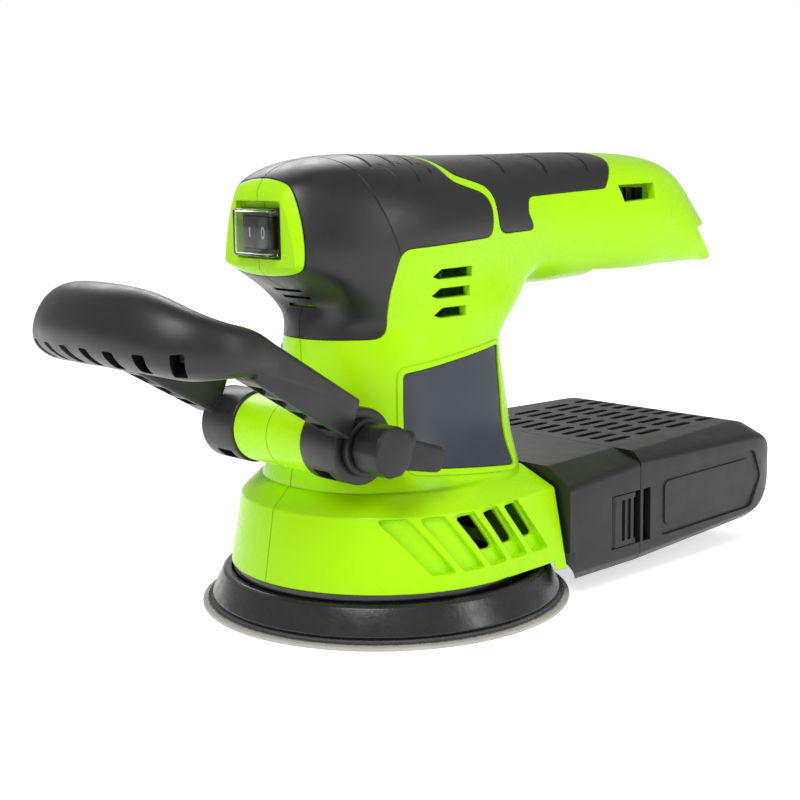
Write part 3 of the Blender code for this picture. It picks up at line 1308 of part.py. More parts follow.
def box_form(name, inset=0.0, joint_half_width=CANISTER_TOP_HALF_WIDTH):
    """The dust box as a loft of eight-cornered sections along x."""
    sections = box_sections(joint_half_width)
    bm = bmesh.new()
    rings = []
    for index, section in enumerate(sections):
        x = section.x
        if index == 0:
            x += inset
        if index >= 2:
            x -= inset
        low, top = section.low + inset, section.top - inset
        side_top = section.side_top - inset * 0.6
        side_low = section.low + 0.0030 + inset * 0.4
        wide, flat, foot = (w - inset for w in (section.half_width, section.top_half_width,
            section.low_half_width))
        outline = [(-foot, low), (foot, low), (wide, side_low), (wide, side_top),
                   (flat, top), (-flat, top), (-wide, side_top), (-wide, side_low)]
        rings.append([bm.verts.new((x, y, z)) for y, z in outline])
    for first, second in zip(rings, rings[1:]):
        bridge(bm, first, second)
    bm.faces.new(rings[0])
    bm.faces.new(rings[-1])
    form = add(name, bm)
    form.modifiers.new("Flat faces", "TRIANGULATE")
    return form


def slab(name, low_x, high_x):
    return box(name, (low_x, -0.08, -0.02), (high_x, 0.08, 0.08))


def latch_room(side):
    reach = sorted((side * (BOX_HALF_WIDTH - 0.0085), side * (BOX_HALF_WIDTH + 0.01)))
    start = LATCH_HINGE_X - 0.0022
    return box(
        f"Latch room {side:+.0f}", (start, reach[0], LATCH_Z - LATCH_HEIGHT / 2.0 - GAP),
        (BOX_SPLIT_X + BOX_LIP + 0.001, reach[1], LATCH_Z + LATCH_HEIGHT / 2.0 + GAP))


def spigot_reach():
    return SKIRT_REAR_X - WALL + 0.0005


def build_dust_frame():
    outer = keep(
        box_form("Frame outer form", joint_half_width=FRAME_TOP_HALF_WIDTH),
        slab("Frame slab", BOX_FRONT_X - 0.01, BOX_SPLIT_X))
    lip = keep(
        copy_of(box_form("Frame lip form", BOX_WALL + GAP), "Frame lip blank"),
        slab("Lip slab", BOX_SPLIT_X - 0.0010, BOX_SPLIT_X + BOX_LIP))
    spigot = box(
        "Spigot", (spigot_reach(), -PORT_HALF_WIDTH + GAP, PORT_LOW_Z + GAP),
        (BOX_FRONT_X + 0.0010, PORT_HALF_WIDTH - GAP, PORT_HIGH_Z - GAP))
    frame = copy_of(join(copy_of(outer, "Frame outer"), copy_of(lip, "Frame lip"), spigot), "Frame solid")
    room = copy_of(box_form("Frame inner form", BOX_WALL, FRAME_TOP_HALF_WIDTH), "Frame room")
    pad_dome = cylinder("Frame floor", PAD_CLEARANCE + BOX_WALL, (0, 0, -0.02),
        (0, 0, BOX_ARCH_Z + BOX_WALL), segments=48)
    lip_wall = 0.0016
    behind = BOX_SPLIT_X - 0.0060
    room = copy_of(cut(keep(room, slab("Frame room slab", 0.0, behind)), pad_dome), "Frame hollow")
    mouth = copy_of(box_form("Lip inner form", BOX_WALL + GAP + lip_wall), "Lip room")
    mouth = copy_of(cut(keep(mouth, slab("Lip room slab", behind - 0.001, 0.2)), pad_dome), "Lip hollow")
    under = cylinder("Pad arch", PAD_CLEARANCE, (0, 0, -0.02), (0, 0, BOX_ARCH_Z), segments=48)
    throat = box(
        "Spigot room", (0.02, -PORT_HALF_WIDTH + GAP + 0.0018, PORT_LOW_Z + GAP + 0.0018),
        (BOX_FRONT_X + BOX_WALL + 0.001, PORT_HALF_WIDTH - GAP - 0.0018, PORT_HIGH_Z - GAP - 0.0018))
    body = copy_of(
        cut(frame, room, mouth, under, throat, latch_room(-1.0), latch_room(1.0)), "Frame body")
    pins = []
    for side in (-1.0, 1.0):
        at = (LATCH_HINGE_X, side * (BOX_HALF_WIDTH - LATCH_SINK))
        half = LATCH_HEIGHT / 2.0 + 0.0012
        pins.append(cylinder(
            f"Latch pin {side:+.0f}", LATCH_PIN, (*at, LATCH_Z - half), (*at, LATCH_Z + half), segments=12))
    copy_of(join(body, *pins), "dust_frame", DARK)


def build_latches():
    for side, name in ((-1.0, "left"), (1.0, "right")):
        half = LATCH_HEIGHT / 2.0
        sink = LATCH_SINK
        plate_end = BOX_SPLIT_X - 0.0022
        low, high = LATCH_Z - half, LATCH_Z + half
        origin = Vector((LATCH_HINGE_X, side * (BOX_HALF_WIDTH - sink), 0.0))
        level = side * sink
        inner = side * (sink - LATCH_THICKNESS)
        tongue = side * (sink - BOX_WALL - GAP)
        root = side * (sink - BOX_WALL - GAP - LATCH_THICKNESS * 0.7)
        end = BOX_SPLIT_X + 0.0055 - LATCH_HINGE_X
        outline = [
            (-0.0004, level), (plate_end - LATCH_HINGE_X, level), (plate_end - LATCH_HINGE_X, tongue),
            (end, tongue),
            (end, root), (plate_end - LATCH_HINGE_X - 0.0020, root),
            (plate_end - LATCH_HINGE_X - 0.0030, inner), (-0.0004, inner)]
        if side < 0:
            outline = outline[::-1]
        arm = prism(f"Latch arm {name}", outline, low, high, axis="Z")
        barrel = cylinder(f"Latch barrel {name}", LATCH_PIN + GAP + 0.0009, (0, 0, low), (0, 0, high),
            segments=16)
        bore = cylinder(f"Latch bore {name}", LATCH_PIN + GAP, (0, 0, low - 0.01), (0, 0, high + 0.01),
            segments=12)
        flutes = []
        for number in range(3):
            x = 0.0044 + 0.0032 * number
            reach = sorted((side * (sink - 0.0008), side * (sink + 0.001)))
            flutes.append(box(f"Latch flute {name} {number}", (x, reach[0], LATCH_Z - half * 0.62),
                (x + 0.0014, reach[1], LATCH_Z + half * 0.62)))
        latch = copy_of(cut(copy_of(join(arm, barrel), f"Latch blank {name}"), bore, *flutes),
            f"latch_{name}", DARK)
        latch.location = origin


def build_canister():
    front = BOX_SPLIT_X + GAP
    outer = keep(box_form("Canister outer form"), slab("Canister slab", front, 0.2))
    room = copy_of(box_form("Canister inner form", BOX_WALL), "Canister room")
    body = copy_of(outer, "Canister solid")
    slots = []
    for row in range(SLOT_ROWS):
        for column in range(SLOT_COLUMNS):
            x = BOX_SPLIT_X + 0.0058 + SLOT_PITCH_X * row
            y = SLOT_PITCH_Y * (column - (SLOT_COLUMNS - 1) / 2.0)
            slots.append(slot_cutter(f"Slot {row} {column}", x, y))
    windows = []
    for side in (-1.0, 1.0):
        reach = sorted((side * (BOX_HALF_WIDTH - 0.0060), side * (BOX_HALF_WIDTH + 0.01)))
        windows.append(box(
            f"Hook window {side:+.0f}",
                (BOX_SPLIT_X + 0.0017, reach[0], LATCH_Z - LATCH_HEIGHT / 2.0 - GAP),
            (BOX_SPLIT_X + 0.0058, reach[1], LATCH_Z + LATCH_HEIGHT / 2.0 + GAP)))
        panel = prism(f"Side panel {side:+.0f}", rounded([
            (BOX_SPLIT_X + 0.0115, 0.0125, 0.003), (BOX_REAR_X - 0.0150, 0.0135, 0.004),
            (BOX_REAR_X - 0.0085, 0.0240, 0.003),
            (BOX_REAR_X - 0.0135, 0.0350, 0.004), (BOX_SPLIT_X + 0.0115, 0.0345, 0.003)], 2),
            *sorted((side * (BOX_HALF_WIDTH - PANEL_DEPTH), side * (BOX_HALF_WIDTH + 0.01))))
        windows.append(panel)
    copy_of(cut(body, room, *slots, *windows), "dust_canister", DARK)
    build_filter()


def slot_cutter(name, x, y):
    """A long slot with cut corners, through the canister's top."""
    end, half = 0.0009, SLOT_WIDTH / 2.0
    outline = [
        (x + end, y - half), (x + SLOT_LENGTH - end, y - half), (x + SLOT_LENGTH, y),
        (x + SLOT_LENGTH - end, y + half),
        (x + end, y + half), (x, y)]
    return prism(name, outline, BOX_TOP_Z - 0.0080, BOX_TOP_Z + 0.01, axis="Z")


def build_filter():
    """The pleated filter under the slotted top."""
    top = BOX_TOP_Z + 0.0002 - BOX_WALL - GAP
    half = BOX_TOP_HALF_WIDTH - 0.0030
    start, end = BOX_SPLIT_X + BOX_LIP + 0.0010, BOX_REAR_X - 0.0190
    step = 2.0 * half / FILTER_PLEATS
    upper = [(half - step * k / 2.0,
        top - (0.0026 if k % 2 else 0.0)) for k in range(2 * FILTER_PLEATS + 1)]
    lower = [(-half + step * k / 2.0,
        top - 0.0016 - (0.0026 if k % 2 else 0.0)) for k in range(2 * FILTER_PLEATS + 1)]
    prism("filter", upper + lower, start, end, axis="X", finish=PAPER)


def build_port_seal():
    outer = box(
        "Port seal blank", (SKIRT_REAR_X + GAP, -PORT_HALF_WIDTH - 0.0030, PORT_LOW_Z - 0.0018),
        (BOX_FRONT_X - GAP, PORT_HALF_WIDTH + 0.0030, PORT_HIGH_Z + 0.0030))
    hole = box(
        "Port seal hole", (0.03, -PORT_HALF_WIDTH, PORT_LOW_Z), (0.04, PORT_HALF_WIDTH, PORT_HIGH_Z))
    copy_of(cut(outer, hole), "dust_port_seal", RUBBER)


build_housing()
build_screws()
build_switch()
build_motor()
build_rotor()
build_pad()
build_seal()
build_front_handle()
build_clamp()
build_battery_mount()
build_board()
build_leads()
build_dust_frame()
build_latches()
build_canister()
build_port_seal()
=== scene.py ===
# %% [markdown]
# # A palm sander with a tilting front handle, as it looks
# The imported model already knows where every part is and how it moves. This lesson dresses it:
# it loads that model as a fixed frame, rebuilds the parts that the eye meets with rounder forms
# and finer detail, and gives every part, seen or half hidden, a finish made from nodes.

# %% Load the frame
import bmesh
import bpy
import json
import math
from mathutils import Matrix, Vector

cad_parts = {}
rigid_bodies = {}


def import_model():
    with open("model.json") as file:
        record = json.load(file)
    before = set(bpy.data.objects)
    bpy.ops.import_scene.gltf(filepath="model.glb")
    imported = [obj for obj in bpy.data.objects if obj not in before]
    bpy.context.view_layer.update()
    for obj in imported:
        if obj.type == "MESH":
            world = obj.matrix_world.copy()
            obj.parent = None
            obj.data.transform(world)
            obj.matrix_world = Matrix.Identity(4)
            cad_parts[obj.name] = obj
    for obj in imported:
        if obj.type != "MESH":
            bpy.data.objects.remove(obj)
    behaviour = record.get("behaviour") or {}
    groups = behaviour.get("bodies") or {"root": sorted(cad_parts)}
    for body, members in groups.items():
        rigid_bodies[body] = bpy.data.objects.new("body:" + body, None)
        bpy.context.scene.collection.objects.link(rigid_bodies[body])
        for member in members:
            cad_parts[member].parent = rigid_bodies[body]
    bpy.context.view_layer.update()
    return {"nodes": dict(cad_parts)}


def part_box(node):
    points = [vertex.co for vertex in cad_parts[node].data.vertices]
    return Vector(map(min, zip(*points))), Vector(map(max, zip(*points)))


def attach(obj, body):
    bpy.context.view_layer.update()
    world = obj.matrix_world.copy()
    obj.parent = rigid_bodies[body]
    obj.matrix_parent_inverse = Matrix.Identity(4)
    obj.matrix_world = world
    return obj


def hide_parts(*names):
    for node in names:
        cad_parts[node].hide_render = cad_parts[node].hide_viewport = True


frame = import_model()
nodes = frame["nodes"]

# %% [markdown]
# ## Camera, floor and light
# A tool like this is shown from in front and a little above, so that the switch, the clamp knob
# and the dust box can all be read. The camera is built from its three axes instead of from
# turned angles, because a slight roll is then just one more rotation of two vectors. The light is
# a studio's: one broad soft box on the left and above, a weaker strip on the right, and a strip
# behind that draws the long highlight along the top. The floor glows a little, and the sky is
# dimmer as light than it is as seen, so the floor runs into it with no horizon and the tool still
# keeps its shading.

# %% Camera
VIEW_AZIMUTH = math.radians(43.1)
VIEW_DROP = math.radians(9.7)
VIEW_ROLL = math.radians(-0.9)
CAMERA_PLACE = Vector((-0.34074, -0.37232, 0.15207))
LENS_MM = 69.7

forward = Vector((
    math.sin(VIEW_AZIMUTH) * math.cos(VIEW_DROP), math.cos(VIEW_AZIMUTH) * math.cos(VIEW_DROP),
    -math.sin(VIEW_DROP)))
level = Vector((math.cos(VIEW_AZIMUTH), -math.sin(VIEW_AZIMUTH), 0.0))
above = level.cross(forward)
right = math.cos(VIEW_ROLL) * level + math.sin(VIEW_ROLL) * above
up = -math.sin(VIEW_ROLL) * level + math.cos(VIEW_ROLL) * above
camera = bpy.data.objects.new("Camera", bpy.data.cameras.new("Camera"))
camera.data.lens = LENS_MM
camera.data.clip_start = 0.01
camera.matrix_world = Matrix.Translation(CAMERA_PLACE) @ Matrix((right, up, -forward)).transposed().to_4x4()
bpy.context.scene.collection.objects.link(camera)
bpy.context.scene.camera = camera
print("camera looks along", [round(c, 3) for c in forward])

# %% Floor and lights
FLOOR_HALF, FLOOR_DROP = 6.0, 0.0001
FLOOR_TONE, FLOOR_GLOW, FLOOR_ROUGHNESS, FLOOR_SHINE = 0.88, 0.62, 0.75, 0.2
SKY_LIGHT, SKY_SEEN = 0.45, 1.0
WHITE = (1.0, 1.0, 1.0, 1.0)
# place, aim, width and height in metres, and watts
SOFT_BOXES = {
    "Key soft box": ((-0.65, -0.35, 0.85), (0.0, 0.0, 0.06), 0.45, 0.45, 5.5),
    "Side strip": ((0.30, -0.90, 0.45), (0.02, 0.0, 0.06), 0.20, 0.60, 2.0),
    "Back strip": ((0.35, 0.75, 0.65), (0.03, 0.0, 0.10), 0.70, 0.25, 4.0),
}


def feed(tree, socket, value):
    """Sets an input to a value, or links an output into it."""
    if isinstance(value, bpy.types.NodeSocket):
        tree.links.new(value, socket)
    else:
        socket.default_value = value


def node(tree, kind, **settings):
    """A new node. Each setting is one of its properties, or what feeds one of its inputs."""
    made = tree.nodes.new(kind)
    for key, value in settings.items():
        if hasattr(made, key):
            setattr(made, key, value)
        else:
            feed(tree, made.inputs[key.replace("_", " ")], value)
    return made


def blank_finish(name, **sockets):
    """A new material and its shader, with values on the shader's own sockets."""
    finish = bpy.data.materials.new(name)
    finish.use_nodes = True
    shader = finish.node_tree.nodes["Principled BSDF"]
    for key, value in sockets.items():
        shader.inputs[key.replace("_", " ")].default_value = value
    return finish, shader


floor_mesh = bpy.data.meshes.new("Floor")
floor_mesh.from_pydata(
    [(x * FLOOR_HALF, y * FLOOR_HALF, -FLOOR_DROP) for x, y in ((-1, -1), (1, -1), (1, 1), (-1, 1))],
    [], [(0, 1, 2, 3)])
floor_mesh.materials.append(blank_finish(
    "pale floor", Base_Color=(FLOOR_TONE, FLOOR_TONE, FLOOR_TONE, 1.0), Emission_Color=WHITE,
    Emission_Strength=FLOOR_GLOW, Roughness=FLOOR_ROUGHNESS, Specular_IOR_Level=FLOOR_SHINE)[0])
floor = bpy.data.objects.new("Floor", floor_mesh)
bpy.context.scene.collection.objects.link(floor)

world = bpy.data.worlds.new("Studio")
world.use_nodes = True
sky = world.node_tree.nodes["Background"].inputs
sky["Color"].default_value = WHITE
direct = node(world.node_tree, "ShaderNodeLightPath").outputs["Is Camera Ray"]
strength = node(world.node_tree, "ShaderNodeMapRange", Value=direct, To_Min=SKY_LIGHT, To_Max=SKY_SEEN)
feed(world.node_tree, sky["Strength"], strength.outputs["Result"])
bpy.context.scene.world = world
bpy.context.scene.view_settings.view_transform = "Standard"

for name, (stand, aim, width, height, watts) in SOFT_BOXES.items():
    lamp = bpy.data.lights.new(name, "AREA")
    lamp.shape = "RECTANGLE"
    lamp.size, lamp.size_y, lamp.energy = width, height, watts
    holder = bpy.data.objects.new(name, lamp)
    holder.location = stand
    holder.rotation_euler = (Vector(aim) - Vector(stand)).to_track_quat("-Z", "Y").to_euler()
    bpy.context.scene.collection.objects.link(holder)
print(len(SOFT_BOXES), "soft boxes over a floor", 2.0 * FLOOR_HALF, "m wide")

# %% [markdown]
# ## A small set of shaping tools
# Moulded parts are mostly one smooth form with things cut out of it. So the lesson needs a few
# plain makers (a flat outline pushed through, a profile spun round, a block) and one Boolean step.
# Boolean results are baked to a plain mesh straight away, which keeps the next step quick and safe.

# %% Tools for shaping
MM = 0.001
TAU = 2.0 * math.pi
SMOOTH_ANGLE = math.radians(30.0)
SIDES = {-1: "left", 1: "right"}
PLACING = {"Y": lambda a, b, c: (a, c, b), "Z": lambda a, b, c: (a, b, c)}
workshop = bpy.data.collections.new("Workshop")
shelf = bpy.data.collections.new("Sander pieces")
for group in (workshop, shelf):
    bpy.context.scene.collection.children.link(group)


def on_bench(name, mesh):
    obj = bpy.data.objects.new(name, mesh)
    workshop.objects.link(obj)
    return obj


def shape(name, bm):
    """A mesh object from a bmesh, with its faces turned outwards."""
    bmesh.ops.recalc_face_normals(bm, faces=bm.faces)
    mesh = bpy.data.meshes.new(name)
    bm.to_mesh(mesh)
    bm.free()
    return on_bench(name, mesh)


def baked(obj, name=None):
    """The object with its modifiers and its place applied, as a plain mesh at the origin."""
    bpy.context.view_layer.update()
    depsgraph = bpy.context.evaluated_depsgraph_get()
    mesh = bpy.data.meshes.new_from_object(obj.evaluated_get(depsgraph), depsgraph=depsgraph)
    mesh.transform(obj.matrix_world)
    return on_bench(name or obj.name + " baked", mesh)


def boolean(obj, tools, operation):
    """One exact Boolean with all its tools, baked."""
    step = obj.modifiers.new(operation, "BOOLEAN")
    step.operation, step.solver = operation, "EXACT"
    if len(tools) == 1:
        step.object = tools[0]
    else:
        group = bpy.data.collections.new(obj.name + " tools")
        for tool in tools:
            group.objects.link(tool)
        step.operand_type, step.collection = "COLLECTION", group
    result = baked(obj)
    obj.modifiers.remove(step)
    return result


def cut(obj, *tools):
    return boolean(obj, tools, "DIFFERENCE")


def join(obj, *tools):
    return boolean(obj, tools, "UNION")


def keep(obj, tool):
    return boolean(obj, (tool,), "INTERSECT")


def rounded_edges(obj, width, segments=2, angle=30.0):
    """Real rounding on the clean mesh of a plain shape, before anything is cut from it."""
    step = obj.modifiers.new("Rounded edges", "BEVEL")
    step.width, step.segments = width, segments
    step.limit_method, step.angle_limit = "ANGLE", math.radians(angle)
    return baked(obj)


def block(name, low, high, bevel=0.0):
    bm = bmesh.new()
    centre = (Vector(low) + Vector(high)) / 2.0
    size = Vector(high) - Vector(low)
    bmesh.ops.create_cube(bm, size=1.0, matrix=Matrix.Translation(centre) @ Matrix.Diagonal((*size, 1.0)))
    obj = shape(name, bm)
    return rounded_edges(obj, bevel, 3) if bevel else obj


def rod(name, radius, start, end, axis="Z", at=(0.0, 0.0), segments=48, end_radius=None):
    """A cylinder or cone from start to end along an axis, at a place across that axis."""
    start, end = (Vector(PLACING[axis](*at, c)) for c in (start, end))
    along = end - start
    bm = bmesh.new()
    bmesh.ops.create_cone(
        bm, cap_ends=True, segments=segments, radius1=radius,
        radius2=radius if end_radius is None else end_radius, depth=along.length,
        matrix=Matrix.Translation((start + end) / 2.0) @ along.to_track_quat("Z", "Y").to_matrix().to_4x4())
    return shape(name, bm)


def spun(name, profile, steps=96, centre=(0.0, 0.0)):
    """A closed (radius, height) profile spun about the vertical through centre."""
    bm = bmesh.new()
    rings = []
    for step in range(steps):
        angle = TAU * step / steps
        rings.append([bm.verts.new((
            centre[0] + r * math.cos(angle), centre[1] + r * math.sin(angle), z)) for r, z in profile])
    for first, second in zip(rings, rings[1:] + rings[:1]):
        for k in range(len(profile)):
            after = (k + 1) % len(profile)
            bm.faces.new((first[k], second[k], second[after], first[after]))
    return shape(name, bm)


def eased(corners, steps=3):
    """Corner points (a, b, radius) as an outline with round corners."""
    points = []
    for index, (a, b, radius) in enumerate(corners):
        corner = Vector((a, b))
        if radius <= 0.0:
            points.append(corner)
            continue
        before = Vector(corners[index - 1][:2]) - corner
        after = Vector(corners[(index + 1) % len(corners)][:2]) - corner
        half = before.angle(after) / 2.0
        reach = min(radius / math.tan(half), 0.45 * before.length, 0.45 * after.length)
        start, end = corner + before.normalized() * reach, corner + after.normalized() * reach
        for step in range(steps + 1):
            t = step / steps
            points.append(start * (1 - t) ** 2 + corner * 2 * t * (1 - t) + end * t ** 2)
    return [(p.x, p.y) for p in points]


def bridge(bm, first, second):
    for k in range(len(first)):
        after = (k + 1) % len(first)
        bm.faces.new((first[k], first[after], second[after], second[k]))


def pushed(name, outline, low, high, axis="Y"):
    """A flat outline pushed through along an axis, from low to high."""
    bm = bmesh.new()
    near, far = [[bm.verts.new(PLACING[axis](a, b, c)) for a, b in outline] for c in (low, high)]
    bridge(bm, near, far)
    bm.faces.new(near)
    bm.faces.new(list(reversed(far)))
    return shape(name, bm)


def sideways(name, outline, side, inner, outer):
    """A flat outline pushed through one side, between two distances from the middle plane."""
    return pushed(name, outline, *sorted((side * inner, side * outer)))


def place(piece, name, finish, body, slot, *stands_for):
    """Names a finished piece, gives it its finish and its body, and hides the nodes it stands for."""
    piece.name = name
    piece.data.materials.clear()
    piece.data.materials.append(finish)
    for polygon in piece.data.polygons:
        polygon.use_smooth = True
        polygon.material_index = 0
    piece.data.set_sharp_from_angle(angle=SMOOTH_ANGLE)
    workshop.objects.unlink(piece)
    shelf.objects.link(piece)
    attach(piece, body)
    if stands_for:
        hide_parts(*stands_for)
    print(f"{name}: {len(piece.data.polygons)} faces on {body}")


print("shaping tools ready")

# %% [markdown]
# ## Finishes
# Every finish is built on Object coordinates, so its grain stays where it is when a part moves.
# Moulded plastic has three layers of detail: a colour that drifts a little over the surface, a
# roughness that is not quite even, and the fine spark-eroded grain of the mould. The Bevel node
# adds the small radius that no moulded edge is without, on top of the radii that the mesh has.

# %% Plastic and rubber
CLOUD_SIZE, GLOSS_SIZE, CLOUD_ROUGHNESS = 0.030, 0.006, 0.55
NOISE_LOW, NOISE_HIGH = 0.3, 0.7     # nearly all of the noise lies between these


def grain(tree, coordinates, size, detail=3.0):
    """Noise whose features are about size metres across."""
    return node(tree, "ShaderNodeTexNoise", Vector=coordinates, Scale=1.0 / size, Detail=detail,
                Roughness=CLOUD_ROUGHNESS).outputs["Fac"]


def spread(tree, value, low, high):
    return node(tree, "ShaderNodeMapRange", Value=value, From_Min=NOISE_LOW, From_Max=NOISE_HIGH,
                To_Min=low, To_Max=high).outputs["Result"]


def tinted(tree, value, dark, light):
    return node(tree, "ShaderNodeMix", data_type="RGBA", Factor=value, A=(*dark, 1.0),
                B=(*light, 1.0)).outputs["Result"]


def dressed(tree, shader, colour, roughness, **bump):
    """Feeds a shader its colour, its roughness and a bump."""
    normal = node(tree, "ShaderNodeBump", **bump).outputs["Normal"]
    for socket, output in (("Base Color", colour), ("Roughness", roughness), ("Normal", normal)):
        feed(tree, shader.inputs[socket], output)


def moulded(name, dark, light, rough, grain_size, grain_height, edge=0.0, **sockets):
    """Moulded plastic, rubber or paint: dark and light bound its colour, rough its roughness."""
    finish, shader = blank_finish(name, **sockets)
    tree = finish.node_tree
    spot = node(tree, "ShaderNodeTexCoord").outputs["Object"]
    bump = {"Strength": 1.0, "Distance": grain_height, "Height": grain(tree, spot, grain_size, 1.0)}
    if edge:
        bump["Normal"] = node(tree, "ShaderNodeBevel", samples=4, Radius=edge).outputs["Normal"]
    dressed(tree, shader, tinted(tree, grain(tree, spot, CLOUD_SIZE), dark, light),
            spread(tree, grain(tree, spot, GLOSS_SIZE), *rough), **bump)
    return finish


LIME = moulded(
    "lime moulded plastic", (0.400, 0.81, 0.0), (0.422, 0.845, 0.0), (0.24, 0.34), 0.0004, 0.000006,
    edge=0.0005, Specular_IOR_Level=0.22)
SOFT = moulded(
    "charcoal soft rubber", (0.006, 0.006, 0.0065), (0.014, 0.014, 0.0145), (0.34, 0.46), 0.0003, 0.000022,
    edge=0.0004, Specular_IOR_Level=0.52)
DARK = moulded(
    "dark moulded nylon", (0.008, 0.008, 0.0085), (0.014, 0.014, 0.0145), (0.34, 0.46), 0.0003, 0.000025,
    edge=0.0004, Specular_IOR_Level=0.42)
SLATE = moulded(
    "slate plate", (0.024, 0.033, 0.045), (0.034, 0.044, 0.058), (0.30, 0.40), 0.0003, 0.000008)
BLACK = moulded(
    "black moulded plastic", (0.008, 0.008, 0.009), (0.014, 0.014, 0.015), (0.28, 0.40), 0.0004, 0.00001)
GLOSS = moulded(
    "glossy black rubber", (0.006, 0.006, 0.006), (0.012, 0.012, 0.012), (0.10, 0.20), 0.002, 0.00002,
    Specular_IOR_Level=0.6)
FOAM = moulded(
    "moulded pad", (0.010, 0.010, 0.010), (0.020, 0.019, 0.019), (0.20, 0.34), 0.0012, 0.00004,
    Specular_IOR_Level=0.55)
BOARD = moulded(
    "circuit board lacquer", (0.012, 0.14, 0.055), (0.022, 0.20, 0.085), (0.25, 0.40), 0.0008, 0.00003)
RED_WIRE = moulded(
    "red wire insulation", (0.50, 0.022, 0.014), (0.60, 0.032, 0.020), (0.35, 0.45), 0.0008, 0.00001)
MARK = moulded(
    "white print", (0.72, 0.72, 0.72), (0.80, 0.80, 0.80), (0.45, 0.55), 0.0004, 0.000004)
print("moulded finishes:", [m.name for m in (LIME, SOFT, DARK, SLATE, BLACK, GLOSS, FOAM, BOARD, RED_WIRE)])

# %% [markdown]
# Turned and cast metal is told by its tool marks. Rings around the axis come from noise that a
# Mapping node stretches into thin layers, and a cast face gets coarse even noise instead. Cloth
# is rough, with a nap in its bump and a little sheen. The clear switch cover is plain soft PVC,
# which is never quite even in gloss.

# %% Metal, cloth and clear plastic
MARK_STRENGTH, MARK_DEPTH = 0.6, 0.00001


def metal(name, dark, light, rough, line_size, stretch):
    """Metal with fine marks: the larger stretch is on an axis, the finer they are along it."""
    finish, shader = blank_finish(name, Metallic=1.0)
    tree = finish.node_tree
    spot = node(tree, "ShaderNodeTexCoord").outputs["Object"]
    layers = node(tree, "ShaderNodeMapping", Vector=spot, Scale=stretch).outputs["Vector"]
    marks = grain(tree, layers, line_size)
    dressed(tree, shader, tinted(tree, marks, dark, light), spread(tree, marks, *rough),
            Strength=MARK_STRENGTH, Distance=MARK_DEPTH, Height=marks)
    return finish


def cloth(name, dark, light, fibre, height):
    """Felted or looped cloth."""
    return moulded(name, dark, light, (0.85, 0.98), fibre, height, Specular_IOR_Level=0.15, Sheen_Weight=0.25)


STEEL = metal("turned steel", (0.42, 0.43, 0.45), (0.60, 0.61, 0.63), (0.22, 0.40), 0.0006, (0.1, 0.1, 4.0))
ZINC = metal("cast zinc", (0.34, 0.35, 0.37), (0.46, 0.47, 0.49), (0.36, 0.55), 0.0012, (1.0, 1.0, 1.0))
COPPER = metal("copper", (0.52, 0.22, 0.10), (0.76, 0.38, 0.20), (0.24, 0.42), 0.0005, (1.0, 1.0, 0.2))
FERRITE = moulded(
    "ferrite", (0.035, 0.036, 0.040), (0.060, 0.061, 0.066), (0.50, 0.65), 0.0006, 0.00005)
HOOKS = cloth("hook fastener", (0.05, 0.05, 0.05), (0.12, 0.12, 0.12), 0.0010, 0.0004)
VELOUR = cloth("loop-backed abrasive", (0.36, 0.34, 0.31), (0.56, 0.53, 0.50), 0.0008, 0.0003)
FILTER = cloth("filter fleece", (0.016, 0.016, 0.016), (0.030, 0.030, 0.030), 0.0010, 0.0003)
CLEAR = moulded(
    "clear switch cover", (0.80, 0.84, 0.84), (0.88, 0.90, 0.90), (0.05, 0.10), 0.004, 0.00003,
    Transmission_Weight=1.0, IOR=1.30)
print("metal, cloth and clear finishes ready")

# %% [markdown]
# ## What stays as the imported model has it
# Motor, bearings, wires and board sit inside and show only through slots. Their shapes are right,
# so they stay, and only their finishes are assigned here.

# %% Finishes on the carried-over parts
KEPT = {
    STEEL: ("motor_can", "upper_bearing", "lower_bearing", "motor_shaft", "pad_bearing", "pad_screw",
            "clamp_bolt"),
    ZINC: ("bearing_plate", "eccentric", "pad_hub"),
    COPPER: ("armature", "commutator", "positive_blade", "negative_blade"),
    FERRITE: ("magnet_ring",),
    BLACK: ("switch_case", "end_bell", "battery_mount", "negative_lead", "motor_negative_lead", "switch_lead"),
    DARK: ("fan", "terminal_block"),
    BOARD: ("control_board",),
    RED_WIRE: ("positive_lead", "motor_positive_lead"),
    FILTER: ("filter",),
    GLOSS: ("dust_port_seal",),
}
for finish, names in KEPT.items():
    for name in names:
        materials = nodes[name].data.materials
        for index in range(len(materials)):
            materials[index] = finish
        if not len(materials):
            materials.append(finish)
print("carried over:", sum(len(names) for names in KEPT.values()), "parts")

# %% [markdown]
# ## The housing's form
# The real housing is a clamshell: two glossy moulded halves that meet on the middle plane. Head,
# grip and neck flow into each other, so they are one subdivision surface over a coarse cage of
# rings. The cage is pushed outwards until its smooth surface runs through the measured rings.
# The skirt below has crisper edges, so it is a loft with small round corners in its profile.

# %% Measures of the housing
NOSE_X, HEAD_TOP_Z, HANDLE_TOP_Z = -0.0500, 0.1465, 0.1452
DECK_Z, SHOULDER_Z, SKIRT_LOW_Z, SKIRT_REAR_LOW_Z = 0.0434, 0.0374, 0.0145, 0.0110
SKIRT_RADIUS, SHOULDER_RADIUS, DECK_RADIUS, SKIRT_REAR_X = 0.0524, 0.0474, 0.0410, 0.0350
SKIRT_HALF, SHOULDER_HALF, DECK_HALF = 0.0502, 0.0502 - 0.0060, 0.0502 - 0.0210     # at the rear
WALL, GAP, SEAM = 0.0030, 0.0003, 0.0003
PIVOT_X, PIVOT_Z = -0.0384, 0.0604
PIVOT_AT = (PIVOT_X, PIVOT_Z)
BOSS_RADIUS, BOSS_HALF_LENGTH, HUB_RADIUS, HUB_END_Y = 0.0110, 0.0165, 0.0118, 0.0330
BOLT_RADIUS = 0.0040

